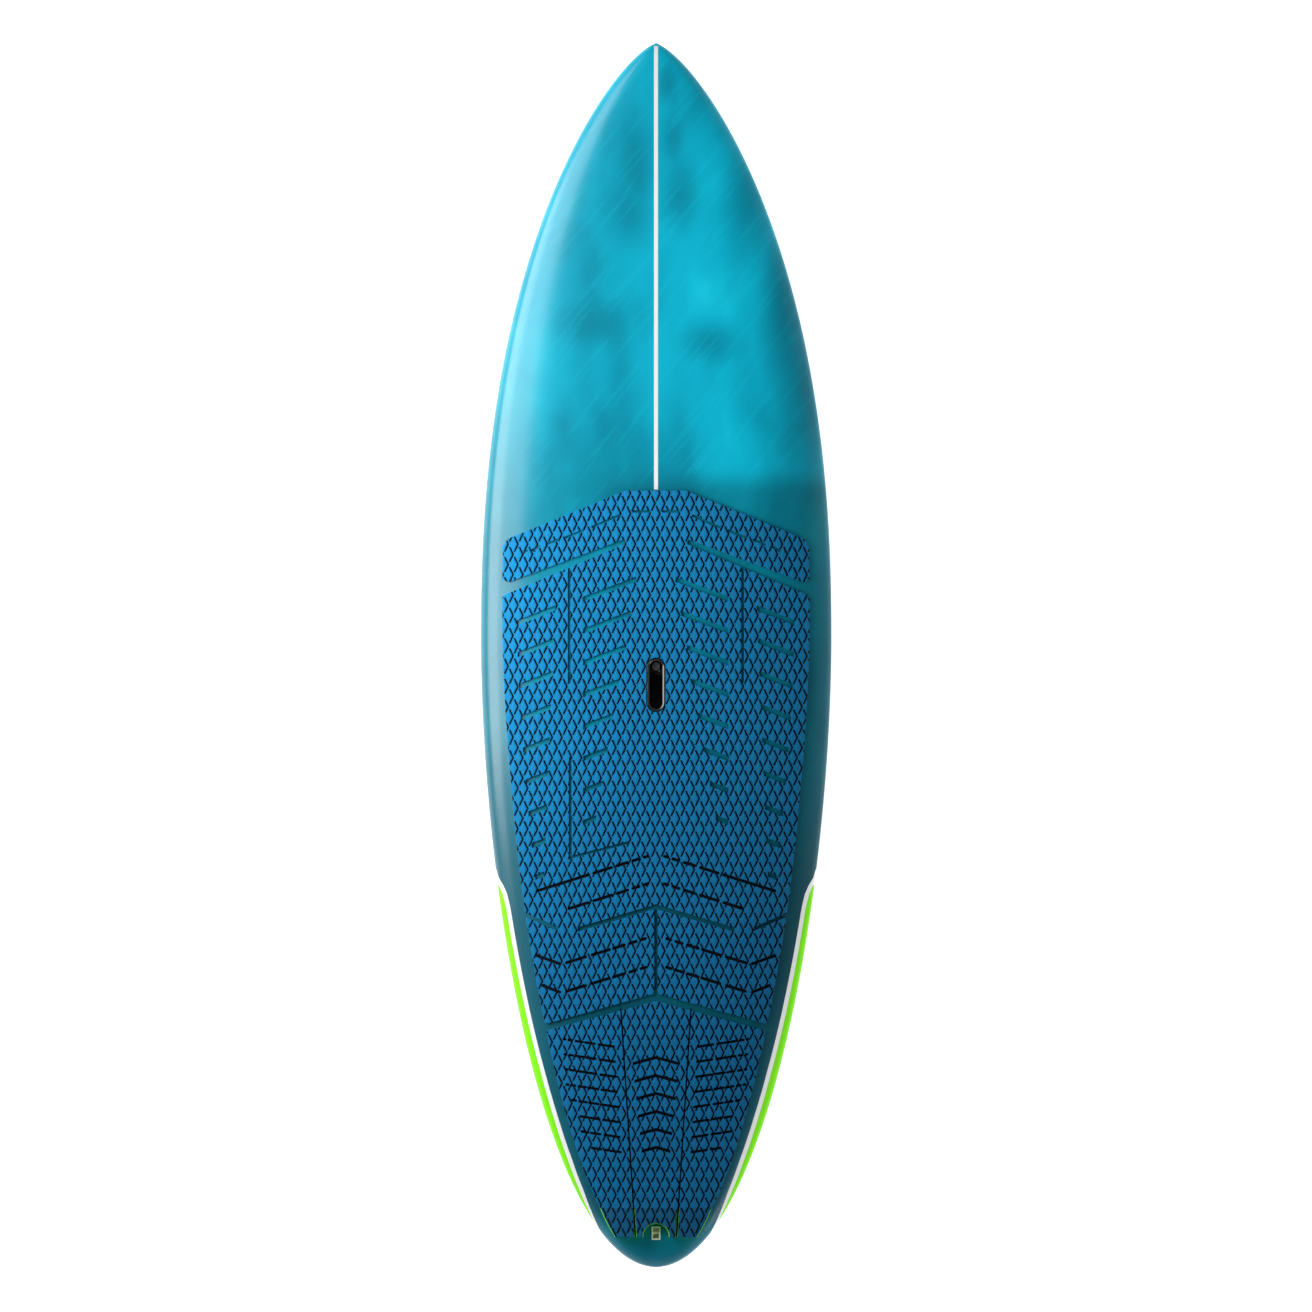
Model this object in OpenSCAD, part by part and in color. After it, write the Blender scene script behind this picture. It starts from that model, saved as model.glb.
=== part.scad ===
// Stand up paddleboard, surf shape: pointed nose, rounded pin tail, full deck pad with a tail kick,
// recessed carry handle with an air vent, leash plug and a three fin set.
// Millimetres. +Y runs to the nose, +X to the right and +Z up from the deck.
// The origin is the middle of the flat of the hull's bottom.

/* [Board] */
// Length from nose to tail
board_l = 2286; // [2250:1:2320]
// Greatest width
board_w = 657; // [640:1:675]
// Greatest thickness, at the middle
board_t = 100; // [96:1:110]
// Lift of the nose above the flat of the bottom
nose_rocker = 135; // [115:1:155]
// Lift of the tail above the flat of the bottom
tail_rocker = 55; // [45:1:65]
// Thickness of the nose tip
nose_t = 16; // [12:1:22]
// Thickness of the tail's end
tail_t = 28; // [24:1:34]

/* [Construction] */
// Thickness of the painted glass laminate
skin_t = 1.2; // [0.8:0.1:1.6]
// Thickness of the sandwich sheet under the laminate
sandwich_t = 3; // [2.5:0.1:4]
// Width of the stringer, and of the pinline above it
stringer_w = 7.5; // [6:0.5:9]
// Height of the pinline's paint over the deck
pinline_t = 0.3; // [0.2:0.1:0.5]

/* [Deck pad] */
// Thickness of the pad
pad_t = 5; // [4:0.5:6]
// Straight front edge of the pad, ahead of the middle
pad_front_y = 309; // [295:1:320]
// Height of the kick at the tail
kick_h = 22; // [16:1:26]
// Where the kick's ramp begins
kick_front_y = -1030; // [-1034:1:-1024]
// Back face of the kick
kick_back_y = -1085; // [-1088:1:-1082]
// Width of the channels that show the deck
channel_w = 8; // [7:0.5:9]
// Width of the short slanted slots
slot_w = 7; // [6:0.5:8]

/* [Handle] */
// Length of the handle's rim
handle_l = 100; // [98:0.5:104]
// Width of the handle's rim
handle_w = 34; // [34:0.5:38]
// Place of the handle along the board
handle_y = -54; // [-60:1:-48]
// Depth of the finger pocket below the deck
pocket_depth = 44; // [40:1:48]
// Across the flats of the vent plug's head
vent_flats = 14; // [13:0.5:15]

/* [Leash plug] */
// Width of the leash plug
leash_w = 16.5; // [16:0.5:18]
// Length of the leash plug
leash_l = 25; // [24:0.5:26]
// Place of the leash plug along the board
leash_y = -1078.5; // [-1080:0.5:-1077]
// Diameter of the leash pin
leash_pin_d = 4; // [3:0.5:5]

/* [Fins] */
// Depth of the centre fin
centre_fin_h = 160; // [140:1:180]
// Depth of each side fin
side_fin_h = 112; // [100:1:120]
// Distance of the side fins from the centreline
side_fin_x = 162; // [156:1:164]
// Place of the side fins along the board
side_fin_y = -790; // [-794:1:-786]
// Place of the centre fin's box along the board
centre_fin_y = -925; // [-930:1:-920]
// Turn of the side fins' noses towards the centreline, in degrees
toe_in = 3; // [0:0.5:4]
// Lean of the side fins' tips away from the centreline, in degrees
cant = 5; // [0:0.5:6]

/* [Hidden] */

deck_blue = "#1a9cb8";
hull_teal = "#0b6f86";
pad_blue = "#1c80bc";
kick_lime = "#6cd030";
plug_pale = "#c4d0b4";
black_plastic = "#101010";

half_l = board_l / 2;
half_w = board_w / 2;
core_inset = skin_t + sandwich_t;

// --- Lines of the hull ---------------------------------------------------------------------

wide_y = 30;            // the widest point, ahead of the middle
tip_half = 3;           // half width left at the nose and at the tail
nose_power = [2.3, 0.73];
tail_power = [1.8, 0.5];
flat_front = 250;       // the bottom is flat between these two
flat_back = -250;
tail_line = -680;       // behind this the bottom runs out straight to the tail
tail_curve = flat_back - tail_line;
tail_bend = tail_rocker / (tail_curve * (tail_curve + 2 * (half_l + tail_line)));
tail_slope = 2 * tail_bend * tail_curve;
tail_angle = -atan(tail_slope);
rail_height = 0.42;     // height of the rail's edge, as a share of the thickness
nose_round = 30;        // deck and bottom close together over this length at the nose
tail_round = 45;        // and over this one at the tail
blunt = 0.97;           // share of that closing that is reached at the very end

// Half width of the outline at a place along the board.
function half_width(y) =
    let (ahead = y > wide_y,
         run = ahead ? half_l - wide_y : half_l + wide_y,
         power = ahead ? nose_power : tail_power,
         t = min(abs(y - wide_y) / run, 1))
    max(half_w * pow(1 - pow(t, power[0]), power[1]), tip_half);

// Height of the bottom's centreline.
function bottom_line(y) =
    y > flat_front ? nose_rocker * pow((y - flat_front) / (half_l - flat_front), 2.1)
    : y > flat_back ? 0
    : y > tail_line ? tail_bend * pow(flat_back - y, 2)
    : tail_bend * pow(tail_curve, 2) + tail_slope * (tail_line - y);

function thickness(y) =
    let (tip = y > 0 ? nose_t : tail_t)
    tip + (board_t - tip) * pow(1 - pow(min(abs(y) / half_l, 1), 2.2), 0.8);

// Share of the half width over which the bottom is flat across.
function flat_share(y) = lookup(y, [[-700, 0.86], [0, 0.6], [900, 0.5]]);

// Share of the thickness left where the hull rounds off towards either end.
function end_share(y) =
    let (run = y > 0 ? nose_round : tail_round,
         u = blunt * max(0, abs(y) - half_l + run) / run)
    pow(1 - pow(u, 3), 0.45);

// A surface of the hull set in by k all round, at a place x, y.
function deck_height(x, y, k = 0, w = half_w) =
    let (t = thickness(y) - 2 * k,
         low = bottom_line(y) + k,
         rail = low + rail_height * t)
    rail + (low + t - rail) * end_share(y) * pow(1 - pow(min(abs(x) / w, 1), 3.2), 0.45);

function bottom_height(x, y, k = 0, w = half_w) =
    let (t = thickness(y) - 2 * k,
         low = bottom_line(y) + k,
         rail = low + rail_height * t,
         flat = flat_share(y),
         r = max(0, min(abs(x) / w, 1) - flat) / (1 - flat))
    rail - (rail - low) * end_share(y) * sqrt(1 - min(r * r, 1));

function deck_z(x, y) = deck_height(x, y, 0, half_width(y));

// --- Grids over the hull -------------------------------------------------------------------

function insert(list, v) = [for (y = list) if (y < v) y, v, for (y = list) if (y > v) y];

STEPS = 36;
COLUMNS = 8;
even_stations = [for (i = [0:STEPS]) -half_l * cos(180 * i / STEPS)];
pinline_back_y = pad_front_y + 2;
stations = insert(insert(insert(even_stations, kick_front_y), kick_back_y), pinline_back_y);
shares = [for (j = [0:COLUMNS]) sin(90 * j / COLUMNS)];
full_row = concat([for (j = [COLUMNS:-1:0]) [-1, shares[j]]], [for (s = shares) [1, s]]);
half_row = [for (s = shares) [1, s]];
middle_row = [[-1, 0], [1, 0]];

// A grid of points: rows run across the board, one for each station.
function hull_grid(row, ys, deck, k = 0, lift = 0) =
    [for (y0 = ys)
        let (shrink = 1 - k / half_w,
             w = half_width(y0) * shrink,
             middle = min(stringer_w / 2, w / 2))
        [for (c = row)
            let (x = c[0] * (middle + (w - middle) * c[1]),
                 z = deck ? deck_height(x, y0, k, w) : bottom_height(x, y0, k, w))
            [x, y0 * (1 - k / half_l), z + lift]]];

// The deck's grid lifted by the pad's or the kick's own height at each station.
function lifted_grid(ys, lifts) =
    [for (i = [0:len(ys) - 1])
        [for (p = hull_grid(full_row, [ys[i]], true)[0]) p + [0, 0, lifts[i]]]];

// Two triangles for each cell; the diagonal is mirrored left of the middle.
function sheet_faces(rows, cols, first, left_cells, up) =
    [for (i = [0:rows - 2], j = [0:cols - 2])
        let (a = first + i * cols + j, b = a + 1, d = a + cols, c = d + 1)
        each (j < left_cells
            ? (up ? [[a, d, b], [b, d, c]] : [[a, b, d], [b, c, d]])
            : (up ? [[a, c, b], [a, d, c]] : [[a, b, c], [a, c, d]]))];

// Walls from a path on the upper grid down to the lower one; flip takes the other diagonal of each cell.
function wall_faces(path, under, flip) =
    [for (i = [0:len(path) - 2])
        let (a = path[i], b = path[i + 1], c = a + under, d = b + under)
        each (flip ? [[b, a, c], [b, c, d]] : [[b, a, d], [d, a, c]])];

// A closed solid between an upper and a lower grid. A sharp side has no wall. Two slabs that meet along
// their walls need opposite flips.
module slab(upper, lower, left_cells, sharp_side = false, flip = false) {
    rows = len(upper);
    cols = len(upper[0]);
    n = rows * cols;
    front = [for (j = [0:cols - 1]) (rows - 1) * cols + j];
    back = [for (j = [cols - 1:-1:0]) j];
    left = [for (i = [0:rows - 1]) i * cols];
    right = [for (i = [rows - 1:-1:0]) i * cols + cols - 1];
    polyhedron(
        points = concat([for (r = upper) each r], [for (r = lower) each r]),
        faces = concat(
            sheet_faces(rows, cols, 0, left_cells, true),
            sheet_faces(rows, cols, n, left_cells, false),
            wall_faces(front, n, flip), wall_faces(back, n, flip), wall_faces(left, n, flip),
            sharp_side ? [] : wall_faces(right, n, flip)),
        convexity = 6);
}

LEFT_CELLS = COLUMNS;

module skin(deck, outer, inner) {
    a = hull_grid(full_row, stations, deck, outer);
    b = hull_grid(full_row, stations, deck, inner);
    if (deck) slab(a, b, LEFT_CELLS);
    else slab(b, a, LEFT_CELLS, flip = true);
}

module core_half() {
    slab(hull_grid(half_row, stations, true, core_inset),
         hull_grid(half_row, stations, false, core_inset), 0, sharp_side = true);
}

// --- Places for the fittings ---------------------------------------------------------------

module at_handle() translate([0, handle_y, deck_z(0, handle_y)]) children();

leash_rise = deck_z(0, leash_y + 10) - deck_z(0, leash_y - 10);
module at_leash() translate([0, leash_y, deck_z(0, leash_y)]) rotate([atan(leash_rise / 20), 0, 0]) children();

// Frames on the straight run of the bottom: z = 0 is the bottom and -z points out of the board.
module at_bottom(x, y) translate([x, y, bottom_line(y)]) rotate([tail_angle, 0, 0]) children();
module at_centre_fin() at_bottom(0, centre_fin_y) children();
module at_side_box(s) at_bottom(s * side_fin_x, side_fin_y) rotate([0, 0, s * toe_in]) children();
module at_side_fin(s) at_side_box(s) rotate([0, -s * cant, 0]) children();

module stadium(w, l) {
    square([w, l - w], center = true);
    for (s = [-1, 1]) translate([0, s * (l - w) / 2]) circle(d = w, $fn = 64);
}

module block(x0, x1, y0, y1, z0, z1) translate([x0, y0, z0]) cube([x1 - x0, y1 - y0, z1 - z0]);

// --- Handle and vent -----------------------------------------------------------------------

rim_h = 4.2;            // the rim stands in the pad, just under its top
rim_wall = 4;
shelf_depth = 12;       // the vent stands on a shelf at the front of the pocket
shelf_t = 6;
shelf_edge = 18.5;      // back edge of the shelf, from the handle's middle
grip_reach = 30;        // the pocket runs this far under the deck on the right
grip_top = 14;
grip_front = 12;
grip_back = -38;
cup_wall = 3;
cup_floor = pocket_depth + cup_wall;
panel_w = 21;
panel_t = 2;
panel_gap = 2;
vent_place = 35;
vent_tube_r = 6;
vent_bore_r = 4;
vent_flange_r = 8;
vent_flange_t = 2.6;
vent_tube_l = 18;
vent_floor = 2;
vent_hole_r = 1.5;
vent_clear = 0.05;      // running clearance of the plug in its bore
plug_stem = 12;         // length of the plug below the shelf
head_h = 6;
head_dish = 1.5;        // depth of the dish in the plug's head
head_rim = 2.5;
membrane_t = 0.5;
seal_r = 0.7;
seal_seat_r = 6.2;
seal_seat_z = 1.1;      // floor of the seal's seat above the shelf
seal_ring_r = 5.1;

module handle_outside() {
    translate([0, 0, -shelf_depth - shelf_t]) linear_extrude(shelf_depth + shelf_t + rim_h)
        stadium(handle_w, handle_l);
    intersection() {
        translate([0, 0, -cup_floor]) linear_extrude(cup_floor) stadium(handle_w, handle_l);
        block(-handle_w, handle_w, -handle_l, shelf_edge + cup_wall, -cup_floor, 0);
    }
    block(0, grip_reach + cup_wall, grip_back - cup_wall, grip_front + cup_wall,
          -cup_floor, -grip_top + cup_wall);
}

module handle_space() {
    pocket_w = handle_w - 2 * rim_wall;
    pocket_l = handle_l - 2 * rim_wall;
    translate([0, 0, -shelf_depth]) linear_extrude(shelf_depth + rim_h + 1) stadium(pocket_w, pocket_l);
    intersection() {
        translate([0, 0, -pocket_depth]) linear_extrude(pocket_depth) stadium(pocket_w, pocket_l);
        block(-handle_w, handle_w, -handle_l, shelf_edge, -pocket_depth, 0);
    }
    block(0, grip_reach, grip_back, grip_front, -pocket_depth, -grip_top);
}

module vent_outside() translate([0, vent_place, -shelf_depth - vent_tube_l]) cylinder(r = vent_tube_r, h = vent_tube_l, $fn = 48);

module handle_cup() color(black_plastic) at_handle() difference() {
    handle_outside();
    handle_space();
    vent_outside();
}

// A loose panel on the pocket's floor, round at the back.
module handle_floor() color("#242424") at_handle() intersection() {
    translate([0, 0, -pocket_depth]) linear_extrude(panel_t)
        stadium(panel_w, handle_l - 2 * rim_wall - panel_gap);
    block(-handle_w, handle_w, -handle_l, shelf_edge - panel_gap / 2, -pocket_depth, 0);
}

module vent_body() color("#3a3a3a") at_handle() translate([0, vent_place, -shelf_depth]) difference() {
    union() {
        translate([0, 0, -vent_tube_l]) cylinder(r = vent_tube_r, h = vent_tube_l, $fn = 48);
        cylinder(r = vent_flange_r, h = vent_flange_t, $fn = 48);
    }
    translate([0, 0, -vent_tube_l + vent_floor]) cylinder(r = vent_bore_r, h = vent_tube_l + vent_flange_t, $fn = 48);
    translate([0, 0, -vent_tube_l - 1]) cylinder(r = vent_hole_r, h = vent_floor + 2, $fn = 32);
    translate([0, 0, seal_seat_z]) cylinder(r = seal_seat_r, h = vent_flange_t, $fn = 48);
}

module vent_membrane() color("#e8e8e8") at_handle()
    translate([0, vent_place, -shelf_depth - vent_tube_l + vent_floor])
    cylinder(r = vent_bore_r - 2 * vent_clear, h = membrane_t, $fn = 48);

module vent_plug() color("#2a2a2a") at_handle() translate([0, vent_place, -shelf_depth]) {
    head_z = vent_flange_t + vent_clear;
    difference() {
        translate([0, 0, head_z]) rotate([0, 0, 30]) cylinder(d = vent_flats / cos(30), h = head_h, $fn = 6);
        translate([0, 0, head_z + head_h - head_dish])
            cylinder(r = vent_flats / 2 - head_rim, h = head_dish + 1, $fn = 48);
    }
    translate([0, 0, -plug_stem]) cylinder(r = vent_bore_r - vent_clear, h = plug_stem + head_z + 1, $fn = 48);
}

module vent_o_ring() color("#161616") at_handle()
    translate([0, vent_place, -shelf_depth + seal_seat_z + seal_r + vent_clear])
    rotate_extrude($fn = 48) translate([seal_ring_r, 0]) circle(r = seal_r, $fn = 24);

// --- Leash plug ----------------------------------------------------------------------------

leash_depth = 20;
leash_recess = 14;
leash_wall = 2.5;
leash_pin_z = -5;
leash_proud = 0.8;

module leash_outside() translate([0, 0, (leash_proud - leash_depth) / 2])
    cube([leash_w, leash_l, leash_depth + leash_proud], center = true);

module leash_pin_shape() translate([0, 0, leash_pin_z]) rotate([0, 90, 0])
    cylinder(d = leash_pin_d, h = leash_w - 1.5, center = true, $fn = 32);

module leash_plug() color(plug_pale) at_leash() difference() {
    leash_outside();
    block(-leash_w / 2 + leash_wall, leash_w / 2 - leash_wall,
          -leash_l / 2 + leash_wall, leash_l / 2 - leash_wall, -leash_recess, 2);
    leash_pin_shape();
}

module leash_pin() color("#b8bcc0") at_leash() leash_pin_shape();

// --- Fin boxes -----------------------------------------------------------------------------

track_box_l = 235;
track_box_w = 25;
track_box_h = 25;
track_slot_l = 215;
track_slot_w = 9.6;
track_slot_h = 19;
track_w = 14.2;
track_low = 9;
track_high = 13.6;
track_mid = (track_low + track_high) / 2;
side_box_l = 138;
side_box_w = 16;
side_box_h = 20;
side_box_shift = 7;
side_slot_l = 114.4;
side_slot_w = 6.6;
side_slot_h = 15;
grub_y = 70;
grub_r = 2.5;
grub_clear = 0.05;
grub_start = 2;
grub_end = 15.8;

module track_box_outside() linear_extrude(track_box_h) stadium(track_box_w, track_box_l);

module side_box_outside() translate([0, side_box_shift, 0]) linear_extrude(side_box_h)
    stadium(side_box_w, side_box_l);

module centre_fin_box() color("#d8dcd8") at_centre_fin() difference() {
    track_box_outside();
    block(-track_slot_w / 2, track_slot_w / 2, -track_slot_l / 2, track_slot_l / 2, -1, track_slot_h);
    block(-track_w / 2, track_w / 2, -track_slot_l / 2, track_slot_l / 2, track_low, track_high);
    block(-track_w / 2, track_w / 2, -6, 6, -1, track_high);
}

// The screw hole leans back from the box's face into the slot.
module along_grub(s) at_side_box(s) translate([0, grub_y, 0]) rotate([45, 0, 0]) children();

module side_fin_box(s) color("#d8dcd8") difference() {
    at_side_box(s) side_box_outside();
    at_side_fin(s) block(-side_slot_w / 2, side_slot_w / 2, -side_slot_l / 2, side_slot_l / 2,
                         -2, side_slot_h);
    along_grub(s) translate([0, 0, -3]) cylinder(r = grub_r + grub_clear, h = 21, $fn = 32);
}

module grub_screw(s) color("#9aa0a4") along_grub(s) difference() {
    translate([0, 0, grub_start]) cylinder(r = grub_r, h = grub_end - grub_start, $fn = 32);
    translate([0, 0, grub_start - 1]) cylinder(d = 2.8, h = 4, $fn = 6);
}

// --- Fins ----------------------------------------------------------------------------------

FOIL_STEPS = 8;
SPAN_STEPS = 12;
foil_shares = [for (i = [0:FOIL_STEPS]) (1 - cos(180 * i / FOIL_STEPS)) / 2];

// Half thickness of a symmetrical foil at a share of its chord, for a thickness of 1.
function foil(c) = 5 * (0.2969 * sqrt(c) - 0.126 * c - 0.3516 * c * c + 0.2843 * pow(c, 3) - 0.1036 * pow(c, 4));

// Leading and trailing edge of a blade at a share of its depth.
function leading(s, base, rake) = base * 0.45 - rake * pow(s, 1.7);
function trailing(s, base, rake) = -base * 0.55 - rake * 0.36 * pow(s, 1.6) + base * 0.09 * sin(180 * s);

// A blade hanging down from z = -start. side is 0 for foiled on both sides, or 1 or -1 for the foiled side.
module blade(height, base, rake, thick, start, side) {
    spans = [for (i = [0:SPAN_STEPS]) sin(90 * i / SPAN_STEPS)];
    rings = [for (s0 = spans)
        let (s = min(s0, 0.995),
             round_off = sqrt(1 - pow(s, 7)),
             mid = (leading(s, base, rake) + trailing(s, base, rake)) / 2,
             half = (leading(s, base, rake) - trailing(s, base, rake)) / 2 * round_off,
             t = max(thick * pow(half * 2 / base, 0.8), 0.8))
        [for (turn = [1, -1], i = [0:FOIL_STEPS - (turn > 0 ? 0 : 1)]) if (turn > 0 || i > 0)
            let (c = foil_shares[turn > 0 ? i : FOIL_STEPS - i],
                 bulge = side == 0 ? 1 : (side == turn ? 1.7 : 0.15),
                 x = turn * (t * foil(c) * bulge + 0.25))
            [x, mid + half - 2 * half * c, -start - s * (height - start)]]];
    loft(rings);
}

// A closed solid through rings of equal length, with a flat cap at each end.
module loft(rings) {
    n = len(rings[0]);
    last = (len(rings) - 1) * n;
    polyhedron(
        points = [for (r = rings) each r],
        faces = concat(
            [[for (i = [0:n - 1]) i]],
            [[for (i = [n - 1:-1:0]) last + i]],
            [for (k = [0:len(rings) - 2], i = [0:n - 1])
                let (a = k * n + i, b = k * n + (i + 1) % n)
                each [[a, b + n, b], [a, a + n, b + n]]]),
        convexity = 4);
}

centre_base = 128;
centre_tab_w = 9.3;
centre_tab_h = 18;
centre_tab_back = -77;
centre_tab_front = 78;
tongue_back = 60;       // ahead of this the tab is cut down to a tongue for the screw
tongue_h = 8;
screw_y = 70;
screw_r = 2;
screw_hole_r = 2.1;
cross_pin_y = -70;
cross_pin_r = 2.2;
side_base = 108;
side_tab_w = 6.4;
side_tab_h = 14.4;
side_tab_l = 113.6;
side_tab_out = 1.3;     // the tab stands out of the box this far to meet the blade
blade_gap = 0.9;

module centre_fin() color("#16181a") at_centre_fin() difference() {
    union() {
        blade(centre_fin_h, centre_base, 158, 8.6, blade_gap, 0);
        block(-centre_tab_w / 2, centre_tab_w / 2, centre_tab_back, tongue_back,
              -side_tab_out, centre_tab_h);
        block(-centre_tab_w / 2, centre_tab_w / 2, tongue_back - 1, centre_tab_front, 0.5, tongue_h);
    }
    translate([0, cross_pin_y, track_mid]) rotate([0, 90, 0])
        cylinder(r = cross_pin_r, h = centre_tab_w + 2, center = true, $fn = 32);
    translate([0, screw_y, 0]) {
        cylinder(r = screw_hole_r, h = tongue_h + 1, $fn = 32);
        cylinder(r1 = 4.1, r2 = screw_hole_r, h = 2.6, $fn = 32);
    }
}

module fin_cross_pin() color("#c8a048") at_centre_fin() translate([0, cross_pin_y, track_mid])
    rotate([0, 90, 0]) cylinder(r = cross_pin_r, h = track_w - 0.4, center = true, $fn = 32);

module fin_nut_plate() color("#c8a048") at_centre_fin() translate([0, screw_y, track_low + 0.5]) difference() {
    block(-track_w / 2 + 0.25, track_w / 2 - 0.25, -5, 5, 0, 3.4);
    translate([0, 0, -1]) cylinder(r = screw_r + 0.05, h = 6, $fn = 32);
}

module fin_screw() color("#b0b4b8") at_centre_fin() translate([0, screw_y, 0.4]) difference() {
    union() {
        cylinder(r1 = 3.7, r2 = screw_r, h = 1.9, $fn = 32);
        cylinder(r = screw_r, h = 15, $fn = 32);
    }
    block(-0.6, 0.6, -5, 5, -1, 1);
}

module side_fin(s) color("#16181a") at_side_fin(s) {
    blade(side_fin_h, side_base, 104, 5.4, blade_gap, s);
    block(-side_tab_w / 2, side_tab_w / 2, -side_tab_l / 2, side_tab_l / 2, -side_tab_out, side_tab_h);
}

// --- Hull pieces ---------------------------------------------------------------------------

// Everything let in through the deck or through the bottom.
module deck_cuts() {
    at_handle() { handle_outside(); vent_outside(); }
    at_leash() leash_outside();
}

module bottom_cuts() {
    at_centre_fin() translate([0, 0, -3]) linear_extrude(track_box_h + 3) stadium(track_box_w, track_box_l);
    for (s = [-1, 1]) at_side_box(s) translate([0, side_box_shift, -3])
        linear_extrude(side_box_h + 3) stadium(side_box_w, side_box_l);
}

module foam_core(s) color("#f4f4f0") difference() {
    mirror([s < 0 ? 1 : 0, 0, 0]) core_half();
    deck_cuts();
    bottom_cuts();
}

module stringer() color("#e8dcc0") difference() {
    slab(hull_grid(middle_row, stations, true, core_inset),
         hull_grid(middle_row, stations, false, core_inset), 0);
    deck_cuts();
    bottom_cuts();
}

module deck_sandwich() color("#f0e8d0") difference() {
    skin(true, skin_t, core_inset);
    deck_cuts();
}

module bottom_sandwich() color("#f0e8d0") difference() {
    skin(false, skin_t, core_inset);
    bottom_cuts();
}

module deck_shell() color(deck_blue) difference() {
    skin(true, 0, skin_t);
    deck_cuts();
}

module bottom_shell() color(hull_teal) difference() {
    skin(false, 0, skin_t);
    bottom_cuts();
}

module centre_pinline() color("white") {
    ys = [for (y = stations) if (y >= pinline_back_y) y];
    slab(hull_grid(middle_row, ys, true, 0, pinline_t), hull_grid(middle_row, ys, true), 0);
}

// --- Deck pad ------------------------------------------------------------------------------

pad_inset = [[-1085, 20], [-1030, 29], [-900, 37], [-690, 44], [-250, 46], [150, 40]];
function pad_edge(y) = half_width(y) - lookup(y, pad_inset);

main_back = [207, -688];    // back corner of the main pad
main_back_y = -630;         // and its apex on the centreline
tail_front = [204.5, -700]; // front corner of the tail pads
tail_front_y = -644.5;      // and their apex
tail_split = [[66.7, -640], [38, -1090]];   // the cuts between the three tail pads
split_w = 3;

function edge_points(y0, y1, step) = [for (y = [y0:step:y1]) [pad_edge(y), y]];

// A closed outline from the points of its right half, back to front. A point on the centreline isn't doubled.
function mirrored(half) = concat(half, [for (i = [len(half) - 1:-1:0]) if (half[i][0] > 0) [-half[i][0], half[i][1]]]);

module both() {
    children();
    mirror([1, 0, 0]) children();
}

// A straight slot between two points of the deck, with square ends.
module slot(a, b, w) {
    d = b - a;
    translate(a) rotate(atan2(d[1], d[0])) translate([0, -w / 2]) square([norm(d), w]);
}

module main_pad_outline() polygon(mirrored(concat(
    [[0, main_back_y], main_back],
    edge_points(-684, 198, 42),
    [[286, 206], [283, 214], [276, 219], [56, pad_front_y]])));

module main_pad_channels() {
    both() {
        // front channel, open at the side
        polygon([[60, 218], [58.6, 210], [281.5, 114], [300, 104], [300, 146], [275, 138]]);
        // slits behind it
        slot([162, 170], [162, -49], 4.5);
        // two ladders of slanted slots
        for (i = [0:7]) let (y = 106 - 59.6 * i, x = 36.6 + 10.7 * i)
            slot([135.8, y], [x, y + 0.378 * (135.8 - x)], slot_w);
        for (i = [0:8]) let (y = 62 - 59.5 * i, x0 = pad_edge(y) - 28, x1 = 188 + 2.6 * i)
            slot([x0, y], [x1, y + 0.39 * (x0 - x1)], slot_w);
        // rear chevron and the notches beside it
        slot([141.5, -509.5], [-1.2, -467.7], channel_w);
        polygon([[183, -515], [184.5, -506.5], [242, -481], [262, -466], [262, -494], [241, -490]]);
    }
    slot([0, -472], [0, -640], 6.5);
    // an L-shaped slit on the left only
    slot([-160, -191], [-160, -379], 4.5);
    slot([-162, -377], [-52, -349], 4.5);
    translate([0, handle_y]) stadium(handle_w + 2, handle_l + 2);
}

module tail_pad_outline() polygon(mirrored(concat(
    [[pad_edge(kick_back_y), kick_back_y]],
    edge_points(-1072, -708, 26),
    [tail_front, [0, tail_front_y]])));

// One of the three tail pads: -1 left, 0 centre, 1 right.
module tail_piece(part) {
    a = tail_split[0];
    b = tail_split[1];
    gap = split_w / 2;
    if (part == 0) polygon([[a[0] - gap, a[1]], [b[0] - gap, b[1]], [gap - b[0], b[1]], [gap - a[0], a[1]]]);
    else scale([part, 1]) polygon([[a[0] + gap, a[1]], [b[0] + gap, b[1]], [300, b[1]], [300, a[1]]]);
}

// The round notch of the kick, around the leash plug.
module kick_notch() {
    translate([0, -1085]) polygon([[-24, -10], [-24, 0], [-19, 14], [-11, 22], [0, 24.5],
                                   [11, 22], [19, 14], [24, 0], [24, -10]]);
}

PAD_DEPTH = 200;
module column() translate([0, 0, -20]) linear_extrude(PAD_DEPTH) children();

kick_start = 0.5;
function kick_lift(y) = y > kick_front_y ? 0
    : kick_start + (kick_h - kick_start) * (kick_front_y - y) / (kick_front_y - kick_back_y);

module pad_main() color(pad_blue) {
    ys = [for (y = stations) if (y > -800 && y < 420) y];
    intersection() {
        slab(hull_grid(full_row, ys, true, 0, pad_t), hull_grid(full_row, ys, true), LEFT_CELLS);
        column() difference() {
            main_pad_outline();
            main_pad_channels();
        }
    }
}

tail_ys = [for (y = stations) if (y >= kick_back_y && y < -560) y];
kick_ys = [for (y = stations) if (y >= kick_back_y && y <= kick_front_y) y];

module tail_cut(part) column() intersection() {
    difference() {
        tail_pad_outline();
        kick_notch();
    }
    tail_piece(part);
}

module pad_tail(part) color(pad_blue) intersection() {
    slab(lifted_grid(tail_ys, [for (y = tail_ys) kick_lift(y) + pad_t]),
         lifted_grid(tail_ys, [for (y = tail_ys) kick_lift(y)]), LEFT_CELLS);
    tail_cut(part);
}

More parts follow.
